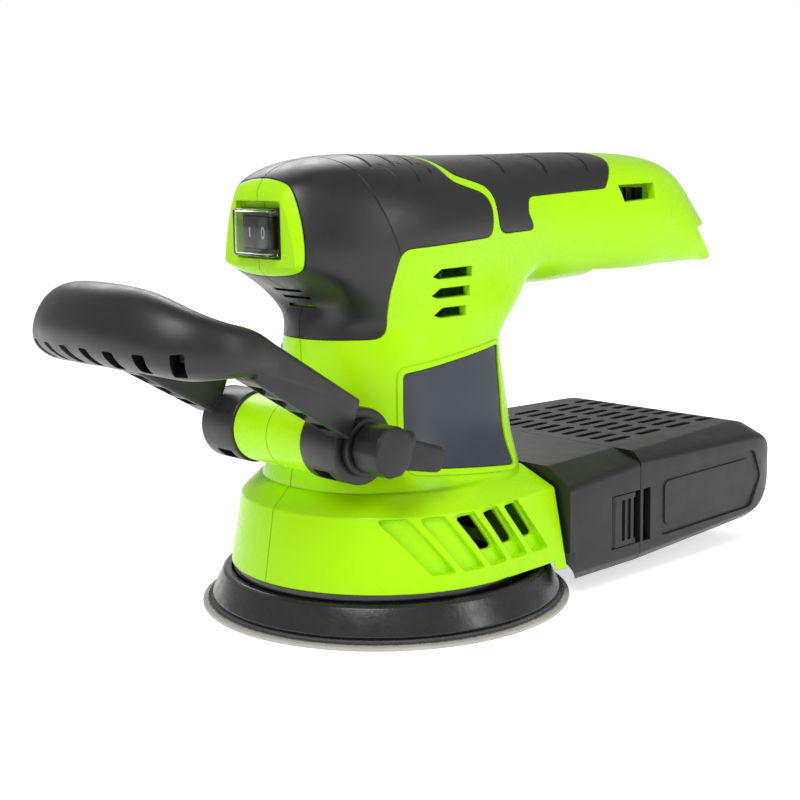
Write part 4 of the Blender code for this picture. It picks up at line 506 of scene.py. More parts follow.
BARREL_RING, TOWER_RING, UNDERSIDE = 12, 16, (4, 8)
NECK = (2, 6)     # the rings of the grip between which the neck leaves it
# x, low z, high z, half width, squareness, taper of each ring along the head and the grip, in mm
BARREL = (
    (-50.0, 113.0, 136.2, 15.0, 5.0, 0.24), (-45.5, 109.0, 141.5, 19.8, 3.0, 0.17),
    (-34.5, 101.8, 145.1, 26.0, 2.6, 0.12), (-18.0, 99.8, 146.5, 30.8, 2.35, 0.06),
    (1.0, 99.8, 146.1, 31.5, 2.35, 0.06), (22.0, 99.8, 145.4, 29.0, 2.4, 0.04),
    (50.0, 100.0, 145.2, 25.2, 2.5, 0.0), (66.0, 99.8, 145.2, 24.0, 2.6, 0.0),
    (86.0, 100.1, 145.2, 24.0, 2.7, 0.0), (108.0, 100.6, 144.5, 25.4, 2.9, 0.02),
    (124.0, 101.0, 143.0, 24.6, 2.8, 0.08), (136.0, 101.4, 139.0, 23.0, 2.8, 0.20),
    (145.0, 101.6, 132.7, 21.0, 2.8, 0.30), (152.0, 101.8, 124.2, 20.2, 3.2, 0.34),
)
# z, front x, rear x, half width, squareness in front and behind of each ring down the neck, in mm
TOWER = (
    (96.5, -34.7, 49.0, 28.2, 2.2, 3.0), (86.0, -34.5, 39.5, 28.2, 2.2, 3.2),
    (70.0, -35.0, 40.5, 29.4, 2.2, 3.2), (54.0, -38.0, 42.0, 31.7, 2.2, 3.2),
    (43.4, -40.3, 42.0, 37.7, 2.2, 3.0), (33.0, -40.3, 42.0, 37.7, 2.2, 3.0),
)
print("housing:", len(BARREL), "rings along the grip,", len(TOWER), "down the neck")

# %% Rings of the head, the grip and the neck
def signed_power(value, exponent):
    return math.copysign(abs(value) ** exponent, value)


def barrel_ring(index, inset):
    x, low, high, half_width, squareness, taper = BARREL[index]
    x, low, high, half_width = x * MM, low * MM + inset, high * MM - inset, half_width * MM - inset
    shift = {0: inset, len(BARREL) - 1: -inset}.get(index, 0.0)
    neck_shift = {NECK[0]: inset, NECK[1]: -inset}.get(index, 0.0)
    points = []
    for k in range(BARREL_RING):
        rise = signed_power(math.cos(TAU * k / BARREL_RING), 2.0 / squareness)
        side = signed_power(math.sin(TAU * k / BARREL_RING), 2.0 / squareness)
        along = x + shift + (neck_shift if rise < 0.0 else 0.0)
        height = (low + high) / 2 + (high - low) / 2 * rise
        points.append((along, half_width * side * (1.0 - taper * rise), height))
    return points


def tower_ring(row, inset):
    z, front, rear, half_width, square_front, square_rear = row
    front, rear, half_width = front * MM + inset, rear * MM - inset, half_width * MM - inset
    points = []
    for k in range(TOWER_RING):
        turn = TAU * k / TOWER_RING
        square = square_rear if math.cos(turn) > 0.0 else square_front
        along = signed_power(math.cos(turn), 2.0 / square)
        side = signed_power(math.sin(turn), 2.0 / square)
        points.append(((front + rear) / 2 + (rear - front) / 2 * along, half_width * side, z * MM))
    return points


def resting_point(vert, crease):
    """Where a subdivision surface finally places this vertex, as a weighted mean of its neighbours."""
    sharp = [e for e in vert.link_edges if e[crease] > 0.5]
    if len(sharp) == 2:
        return (4.0 * vert.co + sum((e.other_vert(vert).co for e in sharp), Vector())) / 6.0
    if len(sharp) > 2:
        return vert.co.copy()
    n = len(vert.link_edges)
    around = [e.other_vert(vert) for e in vert.link_edges]
    corners = Vector()
    for face in vert.link_faces:
        others = [v.co for v in face.verts if v is not vert and v not in around]
        corners += sum(others, Vector()) / len(others)
    return (n * n * vert.co + 4.0 * sum((v.co for v in around), Vector()) + corners) / (n * (n + 5))


FIT_ROUNDS = 6


def smooth_form(name, bm, crease, sharp_rings, levels):
    """Moves a cage outwards until its smooth surface runs through its first points, and bakes it."""
    for ring in sharp_rings:
        for first, second in zip(ring, ring[1:] + ring[:1]):
            bm.edges.get((first, second))[crease] = 1.0
    bm.verts.ensure_lookup_table()
    wanted = [v.co.copy() for v in bm.verts]
    for _ in range(FIT_ROUNDS):
        rests = [resting_point(v, crease) for v in bm.verts]
        for vert, target, rest in zip(bm.verts, wanted, rests):
            vert.co += target - rest
    obj = shape(name, bm)
    step = obj.modifiers.new("Smooth form", "SUBSURF")
    step.levels = step.render_levels = levels
    return baked(obj)


def body_form(name, inset, levels):
    """Head, grip and neck as one smooth closed form, set in by inset."""
    bm = bmesh.new()
    crease = bm.edges.layers.float.new("crease_edge")
    rings = [[bm.verts.new(p) for p in barrel_ring(i, inset)] for i in range(len(BARREL))]
    front, rear = NECK
    for index, (first, second) in enumerate(zip(rings, rings[1:])):
        for k in range(BARREL_RING):
            if not (front <= index < rear and UNDERSIDE[0] <= k < UNDERSIDE[1]):
                after = (k + 1) % BARREL_RING
                bm.faces.new((first[k], second[k], second[after], first[after]))
    bm.faces.new(rings[0])
    bm.faces.new(rings[-1])
    between = range(rear - 1, front, -1)
    loop = [rings[rear][k] for k in (6, 5, 4)] + [rings[i][4] for i in between]
    loop += [rings[front][k] for k in (4, 5, 6, 7, 8)] + [rings[i][8] for i in reversed(between)]
    loop += [rings[rear][8], rings[rear][7]]
    bmesh.ops.delete(bm, geom=[v for v in bm.verts if not v.link_faces], context="VERTS")
    for row in TOWER:
        below = [bm.verts.new(p) for p in tower_ring(row, inset)]
        bridge(bm, loop, below)
        loop = below
    bm.faces.new(loop)
    return smooth_form(name, bm, crease, (rings[0], rings[-1], loop), levels)

# %% The skirt's loft
SKIRT_STEPS, SKIRT_EASE, DECK_LIP = 64, 0.0016, 0.0060


def skirt_outline(radius, rear_half_width, rear_x):
    """A half circle in front and straight sides behind, counterclockwise from above."""
    turns = [math.pi / 2.0 + math.pi * step / SKIRT_STEPS for step in range(SKIRT_STEPS + 1)]
    return [(rear_x, rear_half_width), *[(radius * math.cos(turn), radius * math.sin(turn)) for turn in turns],
            (rear_x, -rear_half_width)]


def skirt_form(name, inset, low, ease=0.0):
    """The skirt: a wall that leans in, a chamfered shoulder and the deck, its corners rounded."""
    deck = DECK_Z - inset
    profile = eased([
        (SKIRT_RADIUS, low, 0.0), (SHOULDER_RADIUS, SHOULDER_Z - inset * 0.6, ease), (DECK_RADIUS, deck, ease),
        (DECK_RADIUS - DECK_LIP, deck, 0.0), (DECK_RADIUS - DECK_LIP, low, 0.0)], 4)
    bm = bmesh.new()
    rings = []
    for radius, z in profile[:-2]:
        if radius > SHOULDER_RADIUS:
            share = (SKIRT_RADIUS - radius) / (SKIRT_RADIUS - SHOULDER_RADIUS)
            rear = SKIRT_HALF + (SHOULDER_HALF - SKIRT_HALF) * share
        else:
            share = (SHOULDER_RADIUS - radius) / (SHOULDER_RADIUS - DECK_RADIUS)
            rear = SHOULDER_HALF + (DECK_HALF - SHOULDER_HALF) * share
        outline = skirt_outline(radius - inset, rear - inset, SKIRT_REAR_X - inset)
        rings.append([bm.verts.new((x, y, z)) for x, y in outline])
    for first, second in zip(rings, rings[1:]):
        bridge(bm, first, second)
    bm.faces.new(rings[0])
    bm.faces.new(rings[-1])
    bmesh.ops.triangulate(bm, faces=[f for f in bm.faces if len(f.verts) > 4])
    return shape(name, bm)


FINE, COARSE = 3, 1
GRIP_DEPTH = 0.0017
outer_form = body_form("Body outside", 0.0, FINE)
inner_form = body_form("Body inside", WALL, COARSE)
grip_floor = body_form("Body under the grips", GRIP_DEPTH, FINE - 1)
print("outer form:", len(outer_form.data.polygons), "faces, box", [round(v, 4) for v in outer_form.dimensions])

# %% [markdown]
# ## Soft grips, label plates and their pockets
# Two soft covers are moulded over the head and the grip, and a smooth plate is set into each side
# of the neck. All three are a layer of the same body form, cut to an outline drawn from the side.
# The pocket in the housing is the same outline, a little larger, so a fine dark joint is left.

# %% Outlines seen from the side
def head_outline(grow=0.0):
    return eased([
        (NOSE_X - 0.0100, 0.0900 - grow, 0.0), (-0.0180 + grow, 0.0902 - grow, 0.0050),
        (-0.0204 + grow, 0.1045, 0.0200), (-0.0188 + grow, 0.1180 - grow, 0.0045),
        (0.0226 + grow, 0.1196 - grow, 0.0035), (0.0238 + grow, 0.1322 + grow, 0.0070),
        (0.0072 + grow, 0.1374 + grow, 0.0050), (0.0064 + grow, HEAD_TOP_Z - 0.0005, 0.0),
        (0.0060 + grow, HEAD_TOP_Z + 0.0100, 0.0), (NOSE_X - 0.0100, HEAD_TOP_Z + 0.0100, 0.0)], 6)


def handle_outline(grow=0.0):
    return eased([
        (0.0082 - grow, HANDLE_TOP_Z + 0.0100, 0.0), (0.0086 - grow, HANDLE_TOP_Z - 0.0004, 0.0),
        (0.0108 - grow, 0.1398 - grow, 0.0040), (0.0256 - grow, 0.1352 - grow, 0.0070),
        (0.0266 - grow, 0.1202 - grow, 0.0055), (0.0466 + grow, 0.1206 - grow, 0.0026),
        (0.0430 + grow, 0.1262, 0.0030), (0.0442 + grow, 0.1315 - grow, 0.0034),
        (0.0864 + grow, 0.1328 - grow, 0.0030), (0.0945 + grow, 0.1432, 0.0020),
        (0.0945 + grow, HANDLE_TOP_Z + 0.0100, 0.0)], 6)


LABEL_CORNERS = ((-0.0169, 0.0502), (0.0264, 0.0453), (0.0273, 0.0840), (-0.0153, 0.0787))
LABEL_EASE = 0.0015


def label_outline(grow=0.0):
    middle = [sum(column) / 4.0 for column in zip(*LABEL_CORNERS)]
    return eased([
        (x + math.copysign(grow, x - middle[0]), z + math.copysign(grow, z - middle[1]), LABEL_EASE + grow)
        for x, z in LABEL_CORNERS], 4)


BEZEL_DEPTH = 0.0028


def layer(name, outline, side, bezel_depth):
    """What an outline takes, on one side, of the layer between the body's outside and the grips' floor."""
    bezel = block(name + " bezel", (NOSE_X - 0.01, -0.06, 0.08), (NOSE_X + bezel_depth, 0.06, 0.16))
    piece = keep(outer_form, sideways(name + " outline", outline, side, SEAM / 2.0, 0.06))
    return cut(piece, grip_floor, bezel)


print("outlines:", len(head_outline()), len(handle_outline()), len(label_outline()), "points")

# %% [markdown]
# ## Cut-outs of the housing
# Slots, vents and windows are outlines pushed through the wall. A cooling slot is straight through.
# A vent of the skirt is a shallow leaning pocket with a floor, because a moulder likes one even
# wall, and only the rear ones have a hole through that floor.

# %% Slots, vents and windows
SWITCH_LOW, SWITCH_HIGH, SWITCH_HALF, SWITCH_RECESS = 0.1172, 0.1302, 0.0085, 0.0028
BEZEL_SIDE, BEZEL_BELOW, BEZEL_ABOVE = 0.0022, 0.0014, 0.0030
PORT_HALF, PORT_LOW_Z, PORT_HIGH_Z = 0.0160, 0.0180, 0.0310
BAY_FRONT_X, BAY_TOP_Z, BAY_HALF = 0.0860, 0.1230, 0.0175
PAD_RIM_RADIUS, BOX_TOP_Z = 0.0545, 0.0440
SLOT_ROWS = ((0.1091, -0.0043, 0.0145), (0.1030, -0.0042, 0.0130), (0.0968, -0.0030, 0.0108))
SLOT_RISE, SLOT_NOTCH = 0.0016, 0.0006     # half height, and how far its point lies below the middle
VENT_COUNT, VENT_BLIND, VENT_RIB, VENT_DEPTH = 5, 2, 0.0026, 0.0016
VENT_LOW, VENT_HIGH, VENT_LEAN = 0.0195, 0.0370, 0.0120
VENT_START, VENT_END, VENT_EASE = -0.0370, 0.0270, 0.0006
HOLE_LOW, HOLE_HIGH, HOLE_MARGIN, HOLE_EASE = 0.0242, 0.0358, 0.0007, 0.0010


def cooling_slots(side):
    outlines = [[
        (front + 0.0025, z - SLOT_RISE), (rear, z - SLOT_RISE), (rear, z + SLOT_RISE),
        (front + 0.0035, z + SLOT_RISE), (front, z - SLOT_NOTCH)] for z, front, rear in SLOT_ROWS]
    return [sideways("Cooling slot", outline, side, 0.018, 0.05) for outline in outlines]


def vent_cutter(name, side, x, pitch, low, high, margin, ease):
    """A leaning four-sided cutter between two ribs."""
    foot, head = (VENT_LEAN * (VENT_HIGH - z) / (VENT_HIGH - VENT_LOW) for z in (low, high))
    return sideways(name, eased([
        (x + foot + VENT_RIB + margin, low, ease), (x + foot + pitch - margin, low, ease),
        (x + head + pitch - margin, high, ease), (x + head + VENT_RIB + margin, high, 2.0 * ease)], 3),
        side, 0.0200, 0.07)


def skirt_vents(side):
    """Leaning pockets in the skirt's side: all are shallow, and the rear ones have a hole through."""
    pitch = (VENT_END - VENT_START - VENT_LEAN) / VENT_COUNT
    floor_form = skirt_form("Vent floor", VENT_DEPTH, 0.0)
    cutters = []
    for number in range(VENT_COUNT):
        x = VENT_START + pitch * number
        pocket = vent_cutter("Skirt vent", side, x, pitch, VENT_LOW, VENT_HIGH, 0.0, VENT_EASE)
        cutters.append(cut(pocket, floor_form))
        if number >= VENT_BLIND:
            cutters.append(vent_cutter(
                "Skirt hole", side, x, pitch, HOLE_LOW, HOLE_HIGH, HOLE_MARGIN, HOLE_EASE))
    return cutters


def shared_cuts():
    slant = SKIRT_LOW_Z - SKIRT_REAR_LOW_Z
    return [
        block("Dust port", (0.0280, -PORT_HALF, PORT_LOW_Z), (0.0400, PORT_HALF, PORT_HIGH_Z)),
        rod("Pivot bore", BOLT_RADIUS + GAP, -0.05, 0.05, "Y", PIVOT_AT),
        block("Bezel recess", (NOSE_X - 0.01, -SWITCH_HALF - BEZEL_SIDE, SWITCH_LOW - BEZEL_BELOW),
              (NOSE_X + SWITCH_RECESS, SWITCH_HALF + BEZEL_SIDE, SWITCH_HIGH + BEZEL_ABOVE), bevel=0.0008),
        block("Switch window", (NOSE_X - 0.01, -SWITCH_HALF - GAP, SWITCH_LOW - GAP),
              (NOSE_X + 0.02, SWITCH_HALF + GAP, SWITCH_HIGH + GAP)),
        block("Dust box room", (SKIRT_REAR_X, -0.07, -0.01), (0.07, 0.07, BOX_TOP_Z + 0.0008)),
        pushed("Hem trim", [
            (-0.07, -0.01), (0.06, -0.01), (0.06, SKIRT_REAR_LOW_Z - slant * 0.8),
            (SKIRT_REAR_X, SKIRT_REAR_LOW_Z), (0.0050, SKIRT_LOW_Z), (-0.07, SKIRT_LOW_Z)], -0.07, 0.07),
        rod("Pad room", PAD_RIM_RADIUS + 0.0030, -0.01, SKIRT_LOW_Z - 0.0002, segments=96),
        pushed("Grip end trim", [
            (0.1560, 0.160), (0.1530, 0.1275), (0.1485, 0.1172), (0.1408, 0.1163),
            (0.1503, 0.1043), (0.1490, 0.095), (0.180, 0.095), (0.180, 0.160)], -0.05, 0.05),
        pushed("Battery bay", [
            (BAY_FRONT_X, 0.095), (0.180, 0.095), (0.180, BAY_TOP_Z), (BAY_FRONT_X, BAY_TOP_Z)],
            -BAY_HALF, BAY_HALF),
    ] + [rod("Hub room", HUB_RADIUS + 0.0008, side * BOSS_HALF_LENGTH, side * 0.06, "Y", PIVOT_AT, 64)
         for side in SIDES]

# %% Both halves
SCREW_COUNT, SCREW_BORE, SCREW_SEAT = 6, 0.0031, 0.0021
LABEL_RIM, LABEL_PROUD = 0.0020, 0.0005
boss = rod("Pivot boss", BOSS_RADIUS, -BOSS_HALF_LENGTH, BOSS_HALF_LENGTH, "Y", PIVOT_AT, 96)
rim_form = body_form("Label rim form", -LABEL_PROUD, FINE)
rims = [keep(rim_form, sideways("Label rim", label_outline(LABEL_RIM), side, 0.012, 0.05))
        for side in SIDES]
whole = join(outer_form, skirt_form("Skirt outside", 0.0, SKIRT_REAR_LOW_Z - 0.002, SKIRT_EASE), boss, *rims)
cavity = join(inner_form, skirt_form("Skirt inside", WALL, 0.0050))
cavity = cut(cavity, rod("Boss wall", BOSS_RADIUS, -0.05, 0.05, "Y", PIVOT_AT), *[
    rod("Hub wall", HUB_RADIUS + 0.0038, side * 0.0135, side * 0.06, "Y", PIVOT_AT) for side in SIDES])
hollow = cut(whole, cavity, *shared_cuts())
print("hollow housing:", len(hollow.data.polygons), "faces")

proud_form = body_form("Proud form", -0.0030, COARSE)
screw_names = [f"housing_screw_{number}" for number in range(1, SCREW_COUNT + 1)]
screw_places = []
for low, high in map(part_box, screw_names):
    screw_places.append(((low[0] + high[0]) / 2.0, high[1], (low[2] + high[2]) / 2.0))
screw_bores = [rod("Screw bore", SCREW_BORE, y - SCREW_SEAT, 0.06, "Y", (x, z), 32) for x, y, z in screw_places]
window_outline = [(0.0955, 0.1275), (0.1121, 0.1283), (0.1125, 0.1338), (0.0932, 0.1335)]
for side, hand in SIDES.items():
    reach = sorted((side * SEAM / 2.0, side * 0.10))
    half_space = block("Half space", (-0.20, reach[0], -0.05), (0.20, reach[1], 0.20))
    tools = cooling_slots(side) + skirt_vents(side)
    tools.append(sideways("Bay window", window_outline, side, 0.015, 0.05))
    if side > 0:
        tools += screw_bores
    for outline in (head_outline, handle_outline, label_outline):
        channel = keep(proud_form, sideways("Channel", outline(GAP), side, -0.001, 0.06))
        bezel = block("Channel bezel", (NOSE_X - 0.01, -0.06, 0.08), (NOSE_X + BEZEL_DEPTH - GAP, 0.06, 0.16))
        tools.append(cut(channel, grip_floor, bezel))
    shell = cut(keep(hollow, half_space), *tools)
    place(shell, f"housing_shell_{hand}", LIME, "housing", "lime", f"housing_{hand}")

# %% [markdown]
# ## Repeats and paths by Geometry Nodes
# Slots, screws, ribs and grooves repeat, so they are grown by Geometry Nodes. One tree sets copies
# of a part on points, one lays a grid of them, and one drapes thin grooves over a form by casting
# each path point onto it. A fourth, for hairs, comes with the pad. The results are baked to plain
# meshes, because most of them are cutters for the next Boolean.

# %% Tools for Geometry Nodes
def new_tree(name, **inputs):
    """A Geometry Nodes tree with named inputs, given as label=kind of socket."""
    tree = bpy.data.node_groups.new(name, "GeometryNodeTree")
    tree.interface.new_socket("Geometry", in_out="INPUT", socket_type="NodeSocketGeometry")
    for label, kind in inputs.items():
        tree.interface.new_socket(label, in_out="INPUT", socket_type="NodeSocket" + kind)
    tree.interface.new_socket("Geometry", in_out="OUTPUT", socket_type="NodeSocketGeometry")
    return tree, tree.nodes.new("NodeGroupInput").outputs, tree.nodes.new("NodeGroupOutput")


def finished(tree, geometry, given, end):
    """Ends a tree: instances made real, then the finish."""
    real = node(tree, "GeometryNodeRealizeInstances", Geometry=geometry).outputs["Geometry"]
    coat = node(tree, "GeometryNodeSetMaterial", Geometry=real, Material=given["Finish"])
    feed(tree, end.inputs["Geometry"], coat.outputs["Geometry"])


def grown(name, tree, base, **values):
    """The base mesh with a tree run on it, baked."""
    step = base.modifiers.new(tree.name, "NODES")
    step.node_group = tree
    for item in tree.interface.items_tree:
        if item.in_out == "INPUT" and item.name in values:
            step[item.identifier] = values[item.name]
    result = baked(base, name)
    base.modifiers.remove(step)
    return result


def wired(name, points, edges=()):
    """A mesh of bare points and edges, as the base of a tree."""
    mesh = bpy.data.meshes.new(name)
    mesh.from_pydata(points, edges, [])
    return on_bench(name, mesh)


def sum_node(tree, operation, *values, kind="ShaderNodeMath"):
    made = node(tree, kind, operation=operation)
    for socket, value in zip(made.inputs, values):
        feed(tree, socket, value)
    return made.outputs[0]


def part_on(tree, points, given, **turned):
    info = node(tree, "GeometryNodeObjectInfo", transform_space="ORIGINAL", Object=given["Part"])
    return node(tree, "GeometryNodeInstanceOnPoints", Points=points, Instance=info.outputs["Geometry"],
                **turned).outputs["Instances"]


COPIES, given, end = new_tree("Copies on points", Part="Object", Finish="Material")
turn = node(COPIES, "GeometryNodeInputNamedAttribute", data_type="FLOAT_VECTOR", Name="turn")
finished(COPIES, part_on(COPIES, given["Geometry"], given, Rotation=turn.outputs["Attribute"]), given, end)


def copied(name, part, points, finish, turns=None):
    """Copies of a part on points, each turned by its own angles about x, y and z."""
    base = wired(name + " points", points)
    turns = turns or [(0.0, 0.0, 0.0)] * len(points)
    base.data.attributes.new("turn", "FLOAT_VECTOR", "POINT").data.foreach_set(
        "vector", [angle for turn in turns for angle in turn])
    return grown(name, COPIES, base, Part=part, Finish=finish)


GRID, given, end = new_tree(
    "Slots in rows", Part="Object", Finish="Material", Rows="Int", Columns="Int",
    RowPitch="Float", ColumnPitch="Float", Middle="Vector")
lattice = node(GRID, "GeometryNodeMeshGrid", Vertices_X=given["Rows"], Vertices_Y=given["Columns"])
for size, count, pitch in (("Size X", "Rows", "RowPitch"), ("Size Y", "Columns", "ColumnPitch")):
    gaps = sum_node(GRID, "SUBTRACT", given[count], 1.0)
    feed(GRID, lattice.inputs[size], sum_node(GRID, "MULTIPLY", gaps, given[pitch]))
rows = part_on(GRID, lattice.outputs["Mesh"], given)
moved = node(GRID, "GeometryNodeTransform", Geometry=rows, Translation=given["Middle"])
finished(GRID, moved.outputs["Geometry"], given, end)

TAPER_POWER, LEAST_RADIUS, GROOVE_SIDES = 0.4, 0.15, 8
GROOVES, given, end = new_tree(
    "Grooves over a form", Form="Object", Finish="Material", Radius="Float", AxisHeight="Float")
form = node(GROOVES, "GeometryNodeObjectInfo", transform_space="ORIGINAL", Object=given["Form"])
spot = node(GROOVES, "GeometryNodeInputPosition").outputs["Position"]
along = node(GROOVES, "ShaderNodeSeparateXYZ", Vector=spot).outputs["X"]
axis_point = node(GROOVES, "ShaderNodeCombineXYZ", X=along, Z=given["AxisHeight"]).outputs["Vector"]
inwards = sum_node(GROOVES, "SUBTRACT", axis_point, spot, kind="ShaderNodeVectorMath")
landing = node(GROOVES, "GeometryNodeRaycast", Target_Geometry=form.outputs["Geometry"], Ray_Direction=inwards)
draped = node(
    GROOVES, "GeometryNodeSetPosition", Geometry=given["Geometry"], Position=landing.outputs["Hit Position"])
path = node(GROOVES, "GeometryNodeMeshToCurve", Mesh=draped.outputs["Geometry"])
share = node(GROOVES, "GeometryNodeSplineParameter").outputs["Factor"]
hump = sum_node(GROOVES, "MULTIPLY", share, sum_node(GROOVES, "SUBTRACT", 1.0, share))
taper = sum_node(GROOVES, "POWER", sum_node(GROOVES, "MULTIPLY", hump, 4.0), TAPER_POWER)
pointed = node(GROOVES, "GeometryNodeSetCurveRadius", Curve=path.outputs["Curve"],
               Radius=sum_node(GROOVES, "MAXIMUM", taper, LEAST_RADIUS))
section = node(GROOVES, "GeometryNodeCurvePrimitiveCircle", Resolution=GROOVE_SIDES, Radius=given["Radius"])
tube = node(GROOVES, "GeometryNodeCurveToMesh", Curve=pointed.outputs["Curve"],
            Profile_Curve=section.outputs["Curve"], Fill_Caps=True)
finished(GROOVES, tube.outputs["Mesh"], given, end)
print("trees:", COPIES.name, GRID.name, GROOVES.name)

# %% [markdown]
# ## The soft grips
# Soft grips are cast in a second shot over the hard shell. Their grooves give the fingers hold and
# also hide how the rubber shrinks. A groove is a thin tube draped over the form and cut away. Rows
# of short arcs cross the head, longer ones cross the grip, and a fine parting line runs down each
# side of the head, where two slides of the mould met.

# %% Grooves over the grips
AXIS_Z = 0.1230
PATH_RADIUS = 0.045
GROOVE_RADIUS, PARTING_RADIUS = 0.00062, 0.00020
# reach each way in degrees, bow, and the middles of the arcs that cross the head and the grip
CROSSINGS = ((44.0, 0.0036, (-0.0168, -0.0075, 0.0010)), (52.0, 0.0042, (0.0408, 0.0625, 0.0842)))
SIDE_ARCS, SIDE_START = ((-0.0165, 63.0), (-0.0078, 60.0), (0.0000, 53.0)), 40.0     # x, end in degrees


def arc_path(start, end, x_at, steps=14):
    """Points round the grip's axis, from one angle to another, at x_at(share of the way)."""
    points = []
    for step in range(steps + 1):
        share = step / steps
        angle = math.radians(start + (end - start) * share)
        points.append((
            x_at(share), PATH_RADIUS * math.sin(angle), AXIS_Z + PATH_RADIUS * math.cos(angle)))
    return points


def grooves(name, paths, radius):
    points, edges = [], []
    for line in paths:
        first = len(points)
        points += line
        edges += [(first + k, first + k + 1) for k in range(len(line) - 1)]
    return grown(name, GROOVES, wired(name + " paths", points, edges),
                 Form=outer_form, Finish=SOFT, Radius=radius, AxisHeight=AXIS_Z)


crossing = []
for reach, bow, middles in CROSSINGS:
    for middle in middles:
        crossing.append(arc_path(-reach, reach, lambda share: middle - bow * (2.0 * share - 1.0) ** 2, 20))
for side in SIDES:
    for x, end_angle in SIDE_ARCS:
        crossing.append(arc_path(
            side * SIDE_START, side * end_angle, lambda share: x + 0.0066 * share - 0.0055 * share ** 2))
groove_cutter = grooves("Grip grooves", crossing, GROOVE_RADIUS)
parting_cutter = grooves(
    "Parting line", [arc_path(side * 0.5, side * 102.0, lambda share: -0.0280 + 0.0089 * share ** 3, 24)
                     for side in SIDES], PARTING_RADIUS)
print("grooves:", len(crossing), "paths,", len(groove_cutter.data.polygons), "faces")

# %% Grips and plates
CHIN_SLITS = ((-0.0393, 0.1055), (-0.0354, 0.1030), (-0.0332, 0.1002))
chin_cutters = [
    block("Chin slit", (x - 0.0022, -0.0066, z - 0.00045), (x + 0.0030, 0.0066, z + 0.00045))
    for x, z in CHIN_SLITS]
for side, hand in SIDES.items():
    for part, outline, cutters in (
            ("head", head_outline(), (groove_cutter, parting_cutter, *chin_cutters)),
            ("handle", handle_outline(), (groove_cutter,))):
        grip = cut(layer(f"{part} grip {hand}", outline, side, BEZEL_DEPTH), *cutters)
        place(grip, f"{part}_cover_{hand}", SOFT, "housing", "soft", f"{part}_grip_{hand}")
    plate = layer(f"Plate {hand}", label_outline(), side, 0.0)
    place(plate, f"side_plate_{hand}", SLATE, "housing", "slate", f"label_plate_{hand}")

# %% [markdown]
# ## The switch
# The rocker sits in a clip-in case behind a clear soft cover that keeps dust out. Its face is a
# shallow V, and the cover is a thin-walled box with round edges, because it is the edges that
# catch the light on clear plastic. The two marks are the usual bar and ring.

# %% Rocker and cover
ROCKER_TILT, ROCKER_HALF, ROCKER_BORE, ROCKER_EDGE = math.radians(8.0), 0.0070, 0.0013, 0.0005
ROCKER_PIN_X = NOSE_X + SWITCH_RECESS + 0.0012
FACE_X, FACE_DIP, FACE_STEPS = -0.0046, 0.0013, 6
MARK_X, MARK_SHARE, RING_STRETCH = -0.0033, 0.56, 1.35
COVER_WALL = 0.0008
rocker_low, rocker_high = (corner[2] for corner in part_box("rocker"))
rocker_place = Matrix.Translation((ROCKER_PIN_X, 0.0, 0.0)) @ Matrix.Rotation(-ROCKER_TILT, 4, "Z")
face = [(FACE_X + FACE_DIP * (1.0 - abs(k) / FACE_STEPS) ** 1.15, -ROCKER_HALF * k / FACE_STEPS)
        for k in range(-FACE_STEPS, FACE_STEPS + 1)]
back = [(0.0012, 0.0004 - ROCKER_HALF), (0.0028, 0.0), (0.0012, ROCKER_HALF - 0.0004)]
key = rounded_edges(pushed("Rocker", face + back, rocker_low, rocker_high, axis="Z"), ROCKER_EDGE, 3, 40.0)
key = cut(key, rod("Rocker bore", ROCKER_BORE, 0.10, 0.15, segments=24))
key.data.transform(rocker_place)
place(key, "rocker_key", BLACK, "switch_rocker", "black", "rocker")

middle_z = (rocker_low + rocker_high) / 2.0
bar = block("Bar mark", (-0.0001, -0.00028, -0.0015), (0.0004, 0.00028, 0.0015), bevel=0.0001)
ring = spun("Ring mark", [(0.00095, -0.0004), (0.00145, -0.0004), (0.00145, 0.0001), (0.00095, 0.0001)], 32)
ring.data.transform(Matrix.Diagonal((RING_STRETCH, 1.0, 1.0, 1.0)))
ring.data.transform(Matrix.Rotation(-math.pi / 2.0, 4, "Y"))
for mark, side, name in ((bar, 1, "mark_bar"), (ring, -1, "mark_ring")):
    y = side * ROCKER_HALF * MARK_SHARE
    x = MARK_X - FACE_DIP * abs(y) / ROCKER_HALF
    slope = Matrix.Rotation(side * math.atan2(FACE_DIP, ROCKER_HALF), 4, "Z")
    mark.data.transform(rocker_place @ (Matrix.Translation((x, y, middle_z)) @ slope))
    place(mark, name, MARK, "switch_rocker", "black")

cover_low, cover_high = (Vector(corner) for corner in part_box("switch_boot"))
cover = block("Cover outside", cover_low, cover_high, bevel=0.0011)
cover_room = block(
    "Cover inside", cover_low + Vector((1, 1, 1)) * COVER_WALL,
    cover_high + Vector((0.004, -COVER_WALL, -COVER_WALL)), bevel=0.0006)
place(cut(cover, cover_room), "switch_cover", CLEAR, "housing", "clear", "switch_boot")

# %% [markdown]
# ## The front handle
# The tilting handle is a hand bar between two hollow arms. The bar is a subdivision surface over
# rings that follow its bend. The arms are U-channels with slanted ribs, open below, which is how a
# moulder keeps a thick part from sinking. Along the bar's lower edge runs a row of moulded pockets,
# set out on their curve by Geometry Nodes.

# %% Rings of the hand bar
# out from the pivot, sideways, up, half height, half thickness in mm, lean in degrees
BAR_STATIONS = (
    (38.0, 36.2, 29.5, 6.8, 4.6, 0.0), (45.0, 37.2, 33.2, 7.0, 5.4, 0.0), (53.0, 37.0, 35.0, 7.8, 6.6, 8.0),
    (60.5, 31.0, 36.8, 9.8, 9.2, 18.0), (64.5, 20.5, 39.2, 11.0, 10.8, 26.0),
    (66.5, 10.0, 40.2, 11.5, 11.5, 28.0), (67.0, 0.0, 40.5, 11.5, 11.6, 28.0),
)
BAR_RING, BAR_ROUNDNESS = 8, 0.80
PIVOT = Matrix.Translation((PIVOT_X, 0.0, PIVOT_Z))


